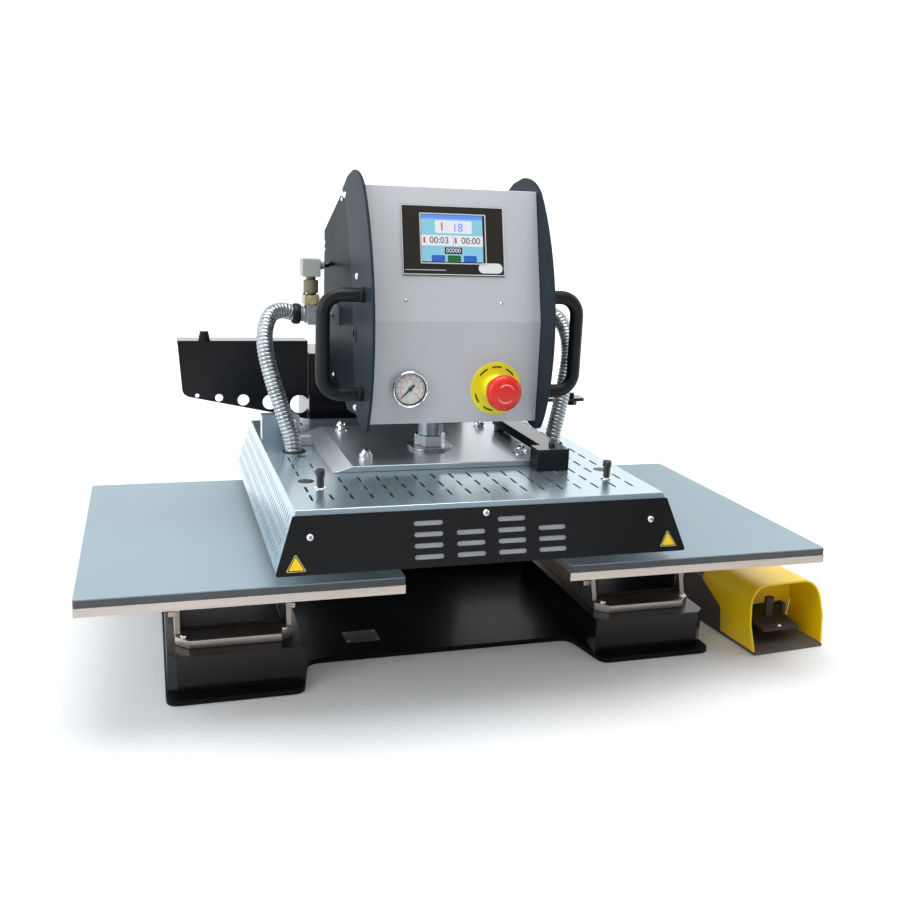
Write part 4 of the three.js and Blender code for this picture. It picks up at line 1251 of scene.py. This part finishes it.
def build_needle(plane):
    """A tapered hand with a counterweight, pointing down to the left at no pressure, and its boss."""
    hand = [(-2.0, -8.5, 0.9), (2.0, -8.5, 0.9), (0.55, 16.5, 0.2), (-0.55, 16.5, 0.2)]
    loop = round_corners([(x * MM, y * MM, corner * MM) for x, y, corner in hand], 0)
    turn = plane @ Matrix.Translation((0, 0, 1.1 * MM)) @ Matrix.Rotation(math.radians(135), 4, "Z")
    needle = sheet_piece("gauge_needle_finished", [loop], 0.7 * MM, turn, "mark_black", "gauge_needle")
    stand_for(needle, "gauge_needle")
    boss = [(plane @ Vector((0, 0, 0.9 * MM)), OUT_FRONT)]
    fasteners("gauge_boss", in_mm((3, 0), (3, 1.7), (2.2, 2.3)), boss, "mark_black", "gauge_needle", 28)


def arc_loop(inner, outer, start, end, steps=24):
    """A band between two radii and two angles in degrees."""
    turns = [math.radians(start + (end - start) * k / steps) for k in range(steps + 1)]
    out = [Vector((outer * math.cos(a), outer * math.sin(a))) for a in turns]
    back = [Vector((inner * math.cos(a), inner * math.sin(a))) for a in reversed(turns)]
    return out + back


def build_estop():
    """The emergency stop: a yellow disc with plain arcs, a collar and a red mushroom."""
    low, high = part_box("estop_plate")
    x, _, z = (low + high) / 2
    r = (high.x - low.x) / 2
    disc = [(r, 0), (r, 1.1 * MM), (r - 0.5 * MM, 1.45 * MM), (0.3 * r, 1.45 * MM)]
    seat = (x, high.y, z)
    plate = turned_piece("estop_plate_finished", disc, seat, OUT_FRONT, "stop_yellow", "carriage", 72)
    stand_for(plate, "estop_plate")
    marks = [arc_loop(0.8 * r, 0.86 * r, start, start + 26, 8) for start in (38, 77, 116, 192, 236, 278, 318)]
    plane = plane_matrix((x, low.y, z), RIGHT, UP)
    decal("estop_marks", marks, "mark_black", plane, 0.02 * MM, thick=0.08 * MM)
    refined("estop_body", "black_moulding", "carriage", 0.6 * MM)
    b_low, b_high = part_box("estop_body")
    b = (b_high.x - b_low.x) / 2
    collar = [(b * 1.04, 0), (b * 1.04, 5 * MM), (b * 0.9, 9 * MM), (b * 0.5, 9.4 * MM)]
    turned_piece("estop_collar", collar, (x, low.y, z), OUT_FRONT, "stop_yellow", "carriage", 56)
    refined("estop_stem", "black_moulding", "estop_stem", 0.3 * MM)
    build_estop_cap(x, z)


def build_estop_cap(x, z):
    """The red mushroom, with two plain arrows on its top that thicken as they turn."""
    low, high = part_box("estop_cap")
    r = (high.x - low.x) / 2
    brim, steps = 15 * MM, 9
    rise = high.y - low.y - brim - 0.2 * MM
    cap = [(0.62 * r, 0.3 * MM), (0.72 * r, 3 * MM), (0.94 * r, 8 * MM), (r, 11 * MM), (r, brim)]
    for k in range(1, steps):
        a = math.pi / 2 * k / steps
        cap.append((r * math.cos(a) ** 0.62, brim + rise * math.sin(a)))
    seat = (x, high.y, z)
    piece = turned_piece("estop_cap_finished", cap, seat, OUT_FRONT, "stop_red", "estop_cap", 64, 60)
    stand_for(piece, "estop_cap")
    work = bmesh.new()
    for start in (20, 200):
        turns = [math.radians(start + 8 * k) for k in range(15)]
        points = [Vector((low.x + r + 0.5 * r * math.cos(a), low.y + 0.85 * MM, z + 0.5 * r * math.sin(a)))
                  for a in turns]
        sweep(work, points, lambda gone, angle: 0.9 * MM * min(1.0, 0.35 + gone / (9 * MM)), 8)
    close(work, "estop_cap_arrows", "mark_pink", "estop_cap", 60)


# ---- pieces: heater ----


def cover_faces():
    """The cover's five sheets as (name, plane, corners), each outline counter-clockwise in its plane."""
    top, flare = COVER_HALF, COVER_FLARE
    centre = Vector((HEAD_X, 0, COVER_HIGH.z))
    faces = [("top", plane_matrix(centre, RIGHT, (0, 1, 0)), span_corners(-top, top))]
    for name, right, half, run, flare_side, flare_out in (
        ("front", Vector((1, 0, 0)), top.x, top.y, flare.x, flare.y),
        ("right", Vector((0, 1, 0)), top.y, top.x, flare.y, flare.x),
        ("back", Vector((-1, 0, 0)), top.x, top.y, flare.x, flare.y),
        ("left", Vector((0, -1, 0)), top.y, top.x, flare.y, flare.x),
    ):
        outward = right.cross(UP)
        up = (UP * SLOPE_HEIGHT - outward * flare_out).normalized()
        foot, wide = -math.hypot(SLOPE_HEIGHT, flare_out), half + flare_side
        plane = plane_matrix(centre + outward * run, right, up)
        faces.append((name, plane, [(-wide, foot), (wide, foot), (half, 0), (-half, 0)]))
    return faces


def top_slots(sizes, blocked):
    """Slots of the cover's top: an even grid, left out where something stands."""
    loops = []
    columns, first_row = 18, -COVER_HALF.y + 49.5 * MM
    rows = int((2 * COVER_HALF.y - 70 * MM) / sizes.slot_pitch_y) + 1
    for i in range(columns):
        x = (i - (columns - 1) / 2) * sizes.slot_pitch_x
        for k in range(rows):
            y = first_row + k * sizes.slot_pitch_y
            if not any(abs(x - bx) < half_x and abs(y - by) < half_y for bx, by, half_x, half_y in blocked):
                loops.append(stadium((x, y), sizes.slot_length, sizes.slot_width, True))
    return loops


def side_slots(corners, sizes):
    """Four rows of short slots down a sloping side, on half the top's pitch."""
    loops = []
    half = corners[2][0]
    length = -corners[0][1]
    pitch = sizes.slot_pitch_x / 2
    count = int((half - 14 * MM) / pitch)
    for row, v in enumerate((-0.2, -0.4, -0.6, -0.8)):
        for i in range(-count, count + 1):
            u = i * pitch + (row % 2) * pitch / 2
            if abs(u) < half - 10 * MM:
                loops.append(stadium((u, v * length), 11 * MM, 2.8 * MM, True, 4))
    return loops


def build_heat_cover():
    """The heater's cover: five perforated sheets with a rounded bend along every corner."""
    sizes = bpy.context.scene.press_sizes
    sheet, bend = 1.6 * MM, 2.0 * MM
    holes = [in_metres(hole) for hole in ((206, 34, 17), (-206, 34, 17), (214, -134, 11), (-214, -134, 11),
                                          (-199, 2, 7), (208, 5, 3), (219, 66, 3))]
    under_bridge, left_screw, right_screw, under_bracket = (
        (0, 30, 178, 146), (-200.5, -171, 8, 16), (200.5, -182, 8, 16), (-216, 118, 40, 40))
    blocked = [(x, y, r + 7 * MM, r + 17 * MM) for x, y, r in holes]
    blocked += [in_metres(span) for span in (under_bridge, left_screw, right_screw, under_bracket)]
    work = bmesh.new()
    for name, plane, corners in cover_faces():
        loops = [inset(corners, 0.716 * bend)]
        if name == "top":
            loops += top_slots(sizes, blocked) + [circle((x, y), r, 28) for x, y, r in holes]
        elif name != "front":
            loops += side_slots(corners, sizes)
        mesh = flat_mesh("sheet", loops, sheet)
        mesh.transform(plane @ Matrix.Translation((0, 0, -sheet / 2)))
        work.from_mesh(mesh)
        bpy.data.meshes.remove(mesh)
        points = [plane @ Vector((u, v, 0)) for u, v in corners]
        if name == "top":
            top_bends(work, points, bend)
        else:
            side_bend(work, points[1], points[2], bend)
    piece = close(work, "heat_cover_finished", "cover_sheet", "heater", 30)
    stand_for(weigh_normals(piece), "heat_cover")


def inset(corners, by):
    """A convex outline moved inwards by a distance on every side."""
    moved = []
    for i, corner in enumerate(corners):
        into, away = directions(corners, i)
        moved.append(Vector(corner) + (into + away).normalized() * (by / math.sin(into.angle(away) / 2)))
    return moved


def top_bends(work, points, bend):
    """A bar inside each edge of the top and a ball at each corner, tangent to the sheets beside them."""
    setback_x, setback_y = 1.43 * MM, 1.5 * MM
    centre = sum(points, Vector()) / 4
    ends = []
    for p in points:
        back = (math.copysign(setback_x, p.x - centre.x), math.copysign(setback_y, p.y - centre.y), bend)
        ends.append(p - Vector(back))
    turns = [math.radians(degrees) for degrees in range(-80, 81, 20)]
    ball = [(bend * math.cos(a), bend * math.sin(a)) for a in turns]
    for a, b in zip(ends, ends[1:] + ends[:1]):
        sweep(work, [a, a.lerp(b, 0.5), b], bend, 20)
        turned(work, ball, Matrix.Translation(a), 16)


def side_bend(work, low, high, bend):
    """A bar inside the edge between two sloping sides, tangent to both."""
    setback, short = 1.36 * bend, 0.9 * bend
    half_way = (low + high) / 2
    inward = Vector((math.copysign(1, HEAD_X - half_way.x), math.copysign(1, -half_way.y), 0)).normalized()
    shift = inward * setback
    sweep(work, [low + shift, half_way + shift, high + shift - UP * short], bend, 20)


def front_point(x, z, out=0.0):
    """A point on the front plate's outer face."""
    tall = FRONT_HIGH.z - FRONT_LOW.z
    lean = (FRONT_HIGH.z - z) / tall
    bottom = FRONT_LOW.y
    top = bottom + COVER_FLARE.y * tall / SLOPE_HEIGHT
    return Vector((x, top + (bottom - top) * lean, z)) + FRONT_OUT * out


def build_cover_front():
    """The black front plate: rows of slots that show the silver sheet behind, and screws."""
    thick, edge = 1.9 * MM, 0.25 * MM
    tall = FRONT_HIGH.z - FRONT_LOW.z
    length = tall / FRONT_UP.z
    plane = plane_matrix(front_point(HEAD_X, FRONT_LOW.z), RIGHT, FRONT_UP)
    wide = (FRONT_HIGH.x - FRONT_LOW.x) / 2
    narrow = wide - COVER_FLARE.x * tall / SLOPE_HEIGHT
    foot, shoulder = 3 * MM, 2 * MM
    outline = [(-wide, 0, foot), (wide, 0, foot), (narrow, length, shoulder), (-narrow, length, shoulder)]
    groups = []
    for k in range(4):
        rows = (13, 27, 41) if k % 2 else (13, 27, 41, 55)
        groups += [stadium(((55 * k - 82) * MM, row * MM), 38 * MM, 6 * MM, False, 6) for row in rows]
    place = plane @ Matrix.Translation((0, 0, -thick / 2))
    loops = [round_corners(outline, 0), *groups]
    piece = sheet_piece("cover_front_finished", loops, thick, place, "gloss_black_coat", "heater", edge, 2)
    stand_for(piece, "cover_front")
    back = plane @ Matrix.Translation((0, 0, -thick - 0.1 * MM))
    backing = [rectangle(-112, 6, 112, 61, 2)]
    inlay = sheet_piece("cover_front_inlay", backing, 0.16 * MM, back, "inlay_silver", "heater")
    spots = [front_point(x * MM, z * MM, 0.1 * MM) for x, z in ((-241, 273), (-17, 291), (213, 272))]
    screws = [(spot, FRONT_OUT) for spot in spots]
    fasteners("cover_front_screws", button_head(4.6 * MM), screws, "bright_steel", "heater", 30)
    build_triangles()


def build_triangles():
    """Two plain yellow triangles in black outlines on the front plate."""
    turns = [math.radians(degrees) for degrees in (210, 330, 90)]
    for index, (x, z) in enumerate(((-259, 241), (237, 243))):
        spot = plane_matrix(front_point(x * MM, z * MM), RIGHT, FRONT_UP)
        for r, finish, lift, corner in ((15.5, "mark_black", 0.02, 1.6), (14.3, "sticker_edge", 0.12, 1.4),
                                        (13.2, "mark_black", 0.22, 1.1), (10.8, "sticker_yellow", 0.32, 0.8)):
            points = [(r * MM * math.cos(a), r * MM * math.sin(a)) for a in turns]
            loops = [round_corners(points, corner * MM)]
            name = f"sticker_{index}_{finish}_{int(lift * 100)}"
            decal(name, loops, finish, spot, lift * MM, "heater", 0.08 * MM)


def build_cover_fittings():
    """What stands on the cover: adjusting screws with springs, dark plugs, the cable bracket and a block."""
    top = COVER_HIGH.z
    screws = [((x * MM, y * MM, top), UP) for x, y in ((-212, -171), (189, -182))]
    shank = 17.2 * MM
    head = in_mm((3.2, 0), (3.2, 17), (6, 17.2))
    head += [(r, h + shank, *hexagon) for r, h, *hexagon in socket_head(6 * MM, 8.5 * MM)[1:]]
    fasteners("adjusting_screws", head, screws, "dark_steel", "heater", 30)
    washer = in_mm((8, 0), (8, 1.1), (7.6, 1.4), (3.3, 1.4))
    fasteners("adjusting_washers", washer, screws, "chrome", "heater", 30)
    work = bmesh.new()
    turns, steps, radius, tall = 5, 16, 4.6 * MM, 14 * MM
    for (x, y, z), _ in screws:
        helix = []
        for k in range(turns * steps + 1):
            a = FULL_TURN * k / steps
            height = z + 2.2 * MM + tall * k / (turns * steps)
            helix.append(Vector((x + radius * math.cos(a), y + radius * math.sin(a), height)))
        sweep(work, helix, 0.75 * MM, 8)
    close(work, "adjusting_springs", "dark_steel", "heater", 60)
    plugs = in_mm((10.8, -1.4), (10.8, 0.2), (10, 0.6), (3, 0.4))
    spots = [((HEAD_X + x * MM, -134 * MM, top - 0.6 * MM), UP) for x in (214, -214)]
    fasteners("service_plugs", plugs, spots, "dark_steel", "heater", 32)
    build_cable_bracket(top)


def build_cable_bracket(top):
    """A silver sheet box with a slot at the rear left, and the small block by the conduit."""
    sheet, gap = 1.6 * MM, 0.1 * MM
    low = Vector((-256 * MM, 105 * MM, top + 0.2 * MM))
    high = Vector((-198 * MM, 128 * MM, top + 40 * MM))
    wide, tall = high.x - low.x, high.z - low.z
    outline = [(0, 0, 0.5 * MM), (wide, 0, 0.5 * MM), (wide, tall, 3 * MM), (0, tall, 6 * MM)]
    loops = [round_corners(outline, 0), stadium((wide - 9 * MM, tall - 15 * MM), 16 * MM, 5 * MM, True),
             circle((wide - 27 * MM, 9 * MM), 3 * MM)]
    place = plane_matrix(low, RIGHT, UP) @ Matrix.Translation((0, 0, -sheet / 2))
    sheet_piece("cable_bracket_face", loops, sheet, place, "cover_sheet", "heater", 0.4 * MM, 2)
    behind = low.y + sheet + gap
    spans = [((low.x, behind, high.z - sheet), (high.x - 3 * MM, high.y, high.z)),
             ((low.x, behind, low.z), (low.x + sheet, high.y, high.z - sheet - gap)),
             ((low.x + 6 * MM, low.y + 6 * MM, low.z), (high.x - 12 * MM, high.y, high.z - 9 * MM))]
    boxes("cable_bracket_box", spans, "cover_sheet", "heater", 0.5 * MM)
    block_low = Vector((-203 * MM, 66 * MM, low.z))
    block_span = (block_low, block_low + Vector((18 * MM, 18 * MM, 15 * MM)))
    boxes("thermostat_block", [block_span], "zinc_plate", "heater", 1.2 * MM, 3)
    screw = [((-191 * MM, 96 * MM, top), UP)]
    fasteners("bracket_screw", socket_head(3.4 * MM, 5 * MM), screw, "dark_steel", "heater")


def build_bridge():
    """The thick bridge plate with sloping ends, and its four acorn nuts."""
    low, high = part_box("bridge_plate")
    top = low.z + 8.4 * MM
    slope = 28 * MM
    section = [(low.x, low.z), (high.x, low.z), (high.x - slope, top), (low.x + slope, top)]
    work = bmesh.new()
    rows = [[work.verts.new((x, y, z)) for x, z in section] for y in (low.y, high.y)]
    skin_loops(work, rows)
    work.faces.new(rows[0])
    work.faces.new(rows[1][::-1])
    plate = close(work, "bridge_plate_finished", "bridge_zinc", "heater")
    stand_for(soften(plate, 1.2 * MM, 3, angle=10, smooth=10), "bridge_plate")
    spots = [((HEAD_X + side * 117 * MM, y * MM, top), UP) for side in (-1, 1) for y in (-58, 135)]
    fasteners("bridge_nuts", dome_nut(8.2 * MM), spots, "chrome", "heater", 36)


def build_rod():
    """The lifting rod: a flange, a lock nut, a chamfered hexagon and a ground bar."""
    low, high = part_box("lifting_rod")
    foot = (*((low + high) / 2).xy, low.z)
    flange = in_mm((34, 0), (34, 3.4), (33.4, 4), (20, 4))
    bar = in_mm((18.5, 20), (18.5, 30), (18, 30.3), (18, 31.3), (18.5, 31.6)) + [(18.5 * MM, high.z - low.z)]
    work = bmesh.new()
    for rings in (flange, bar):
        turned(work, rings, axis_matrix(foot, UP), 64)
    stand_for(close(work, "lifting_rod_finished", "rod_steel", "heater"), "lifting_rod")
    nut = in_mm((22.4, 4), (23.8, 4.8, "hex"), (23.8, 20, "hex"), (22.4, 21.2), (19, 21.6))
    turned_piece("lifting_rod_nut", nut, foot, UP, "bright_steel", "heater", 48, 24)


def build_heater():
    """The heated platen and the guide bar."""
    sizes = bpy.context.scene.press_sizes
    refined("heater_platen", "cast_heater", "heater", sizes.cast_edge)
    refined("guide_bar", "gloss_black_coat", "heater", sizes.sheet_edge)
    _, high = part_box("guide_bar")
    inner_side = 119 * MM
    spots = [(((high.x + inner_side) / 2, y * MM, high.z), UP) for y in (-108, 96)]
    fasteners("guide_bar_screws", socket_head(5 * MM, 5 * MM), spots, "dark_steel", "heater")


# ---- stage ----


def area_light(name, at, towards, size, power, colour=(1, 1, 1)):
    """A rectangular lamp aimed at a point."""
    lamp = bpy.data.lights.new(name, "AREA")
    lamp.shape = "RECTANGLE"
    lamp.size, lamp.size_y = size
    lamp.energy = power
    lamp.color = colour
    carrier = bpy.data.objects.new(name, lamp)
    bpy.context.scene.collection.objects.link(carrier)
    carrier.location = at
    carrier.rotation_euler = (Vector(towards) - Vector(at)).to_track_quat("-Z", "Y").to_euler()
    return carrier


def build_backdrop():
    """A pale floor that sweeps up into a white wall all round the object."""
    paper = Finish("floor_paper", roughness=0.75, specular_ior_level=0.2)
    cloud = paper.spread(paper.noise(1.5, 3), 0.3, 0.7)
    here = paper.node("TexCoord", output=3)
    away = paper.node("VectorMath", {"operation": "LENGTH"}, {0: here}, output=1)
    along = paper.node("SeparateXYZ", inputs={"Vector": here}, output=1)
    in_front = paper.spread(along, 0.2, -1.2)
    shaded = in_front * paper.spread(away, 2.4, 3.6)
    pale = paper.mix(cloud, (0.88, 0.885, 0.89), (0.9, 0.905, 0.91))
    paper.put("Base Color", paper.mix(shaded, pale, (0.3, 0.3, 0.31)))
    glow = paper.spread(away, 0.5, 2.6) * (1.0 - in_front)
    paper.put("Emission Color", paper.mix(glow, (0.08, 0.08, 0.08), (0.92, 0.925, 0.93)))
    paper.shader.inputs["Emission Strength"].default_value = 0.6
    edge, curve, wall_top, below = 3.4, 0.9, 5.0, 0.5 * MM
    rise = [math.pi / 2 * k / 8 for k in range(1, 9)]
    profile = [(r, 0.0) for r in (0.0, 0.4, 0.8, 1.5, 2.4, edge)]
    profile += [(edge + curve * math.sin(a), curve - curve * math.cos(a)) for a in rise]
    profile += [(edge + curve, wall_top)]
    work = bmesh.new()
    sides = 72
    loops = []
    for k in range(sides):
        a = FULL_TURN * k / sides
        loops.append([work.verts.new((r * math.cos(a), r * math.sin(a), z - below)) for r, z in profile])
    for k in range(sides):
        one, two = loops[k], loops[(k + 1) % sides]
        for i in range(len(profile) - 1):
            work.faces.new((one[i], two[i], two[i + 1], one[i + 1]))
    bmesh.ops.remove_doubles(work, verts=work.verts, dist=SAME_POINT)
    return close(work, "floor", "floor_paper", None, 60)


def build_stage():
    """Camera, backdrop, lamps and the white surround."""
    stage = bpy.context.scene.press_stage
    level = Vector((math.cos(stage.heading), -math.sin(stage.heading), 0))
    ahead = Vector((math.sin(stage.heading), math.cos(stage.heading), 0))
    forward = math.cos(stage.tilt) * ahead - math.sin(stage.tilt) * UP
    raised = level.cross(forward)
    right = math.cos(stage.roll) * level + math.sin(stage.roll) * raised
    up = -math.sin(stage.roll) * level + math.cos(stage.roll) * raised
    lens = bpy.data.cameras.new("camera")
    lens.lens = stage.lens
    lens.sensor_width = 36
    lens.clip_start = 0.01
    camera = bpy.data.objects.new("camera", lens)
    bpy.context.scene.collection.objects.link(camera)
    turn = Matrix((right, up, -forward)).transposed().to_4x4()
    camera.matrix_world = Matrix.Translation(stage.camera_at) @ turn
    bpy.context.scene.camera = camera

    floor = build_backdrop()
    soft = [
        area_light("overhead", (-0.1, -0.4, 2.3), (0, 0.05, 0.3), (1.8, 1.4), 36),
        area_light("left_window", (-1.9, -0.9, 1.2), (0, 0, 0.35), (1.2, 1.5), 22, (0.84, 0.93, 1.0)),
        area_light("front_fill", (0.4, -2.6, 0.9), (0, 0, 0.3), (1.6, 1.2), 1.5),
        area_light("right_fill", (2.0, -0.4, 1.0), (0, 0, 0.35), (1.0, 1.4), 5, (1.0, 0.97, 0.93)),
    ]

    world = bpy.data.worlds.new("surround")
    bpy.context.scene.world = world
    world.use_nodes = True
    surround = world.node_tree.nodes["Background"]
    surround.inputs["Color"].default_value = (1.0, 1.0, 1.0, 1)
    surround.inputs["Strength"].default_value = stage.sky
    bpy.context.scene.view_settings.view_transform = "Standard"


# ---- operators ----


class FinishesOperator(bpy.types.Operator):
    """Makes every finish of the press"""

    bl_idname = "press.finishes"
    bl_label = "Finishes"

    def execute(self, context):
        make_finishes()
        return {"FINISHED"}


class BaseOperator(bpy.types.Operator):
    """Builds the base plate, legs, posts, trays, lower plates and hidden rails"""

    bl_idname = "press.base"
    bl_label = "Base"

    def execute(self, context):
        build_base()
        return {"FINISHED"}


class PadsOperator(bpy.types.Operator):
    """Builds the silicone pad of each lower plate"""

    bl_idname = "press.pads"
    bl_label = "Pads"

    def execute(self, context):
        build_pads()
        return {"FINISHED"}


class BaseHardwareOperator(bpy.types.Operator):
    """Builds the bolts of the trays and brackets, and the blank rating plate"""

    bl_idname = "press.base_hardware"
    bl_label = "Base Hardware"

    def execute(self, context):
        build_base_hardware()
        build_rating_plate()
        return {"FINISHED"}


class FootSwitchOperator(bpy.types.Operator):
    """Builds the hooded foot switch and its treadle"""

    bl_idname = "press.foot_switch"
    bl_label = "Foot Switch"

    def execute(self, context):
        build_foot_switch()
        return {"FINISHED"}


class CarriageOperator(bpy.types.Operator):
    """Builds the bearings, column, arm, stop bracket and head beam that slide together"""

    bl_idname = "press.carriage"
    bl_label = "Carriage"

    def execute(self, context):
        build_carriage()
        build_arm_nut()
        return {"FINISHED"}


class HeadShellOperator(bpy.types.Operator):
    """Builds the cheeks, panel, rear housing, cylinder and control unit"""

    bl_idname = "press.head_shell"
    bl_label = "Head Shell"

    def execute(self, context):
        build_head_shell()
        build_head_screws()
        return {"FINISHED"}


class HandlesOperator(bpy.types.Operator):
    """Builds the two handles of the head"""

    bl_idname = "press.handles"
    bl_label = "Handles"

    def execute(self, context):
        build_handles()
        return {"FINISHED"}


class HeadFittingsOperator(bpy.types.Operator):
    """Builds the hose rails, conduits, air valve and its lead"""

    bl_idname = "press.head_fittings"
    bl_label = "Head Fittings"

    def execute(self, context):
        build_head_fittings()
        build_valve()
        build_conduits()
        return {"FINISHED"}


class GaugeOperator(bpy.types.Operator):
    """Builds the pressure gauge and the display"""

    bl_idname = "press.gauge"
    bl_label = "Gauge"

    def execute(self, context):
        build_gauge()
        build_display()
        return {"FINISHED"}


class EmergencyStopOperator(bpy.types.Operator):
    """Builds the emergency stop"""

    bl_idname = "press.emergency_stop"
    bl_label = "Emergency Stop"

    def execute(self, context):
        build_estop()
        return {"FINISHED"}


class HeaterOperator(bpy.types.Operator):
    """Builds the heated plate, its cover and what stands on it"""

    bl_idname = "press.heater"
    bl_label = "Heater"

    def execute(self, context):
        build_heater()
        build_heat_cover()
        build_cover_front()
        build_cover_fittings()
        build_bridge()
        build_rod()
        return {"FINISHED"}


class StageOperator(bpy.types.Operator):
    """Sets the camera, floor and lights"""

    bl_idname = "press.stage"
    bl_label = "Stage"

    def execute(self, context):
        build_stage()
        return {"FINISHED"}


OPERATORS = (
    FinishesOperator,
    BaseOperator,
    PadsOperator,
    BaseHardwareOperator,
    FootSwitchOperator,
    CarriageOperator,
    HeadShellOperator,
    HandlesOperator,
    HeadFittingsOperator,
    GaugeOperator,
    EmergencyStopOperator,
    HeaterOperator,
    StageOperator,
)
GROUPS = (PressColours, PressSizes, PressStage)


class PressPanel(bpy.types.Panel):
    """Lists the press's settings and the operators that build it"""

    bl_idname = "VIEW3D_PT_heat_press"
    bl_label = "Heat Press"
    bl_space_type = "VIEW_3D"
    bl_region_type = "UI"
    bl_category = "Heat Press"

    def draw(self, context):
        scene = context.scene
        for group in (scene.press_colours, scene.press_sizes, scene.press_stage):
            column = self.layout.column(align=True)
            for name in group.__annotations__:
                column.prop(group, name)
        for operator in OPERATORS:
            self.layout.operator(operator.bl_idname)


def register():
    for kind in (*GROUPS, *OPERATORS, PressPanel):
        bpy.utils.register_class(kind)
    bpy.types.Scene.press_colours = bpy.props.PointerProperty(type=PressColours)
    bpy.types.Scene.press_sizes = bpy.props.PointerProperty(type=PressSizes)
    bpy.types.Scene.press_stage = bpy.props.PointerProperty(type=PressStage)


def unregister():
    del bpy.types.Scene.press_colours
    del bpy.types.Scene.press_sizes
    del bpy.types.Scene.press_stage
    for kind in reversed((*GROUPS, *OPERATORS, PressPanel)):
        bpy.utils.unregister_class(kind)


def main():
    register()
    for operator in OPERATORS:
        family, name = operator.bl_idname.split(".")
        getattr(getattr(bpy.ops, family), name)()


if __name__ == "__main__":
    main()
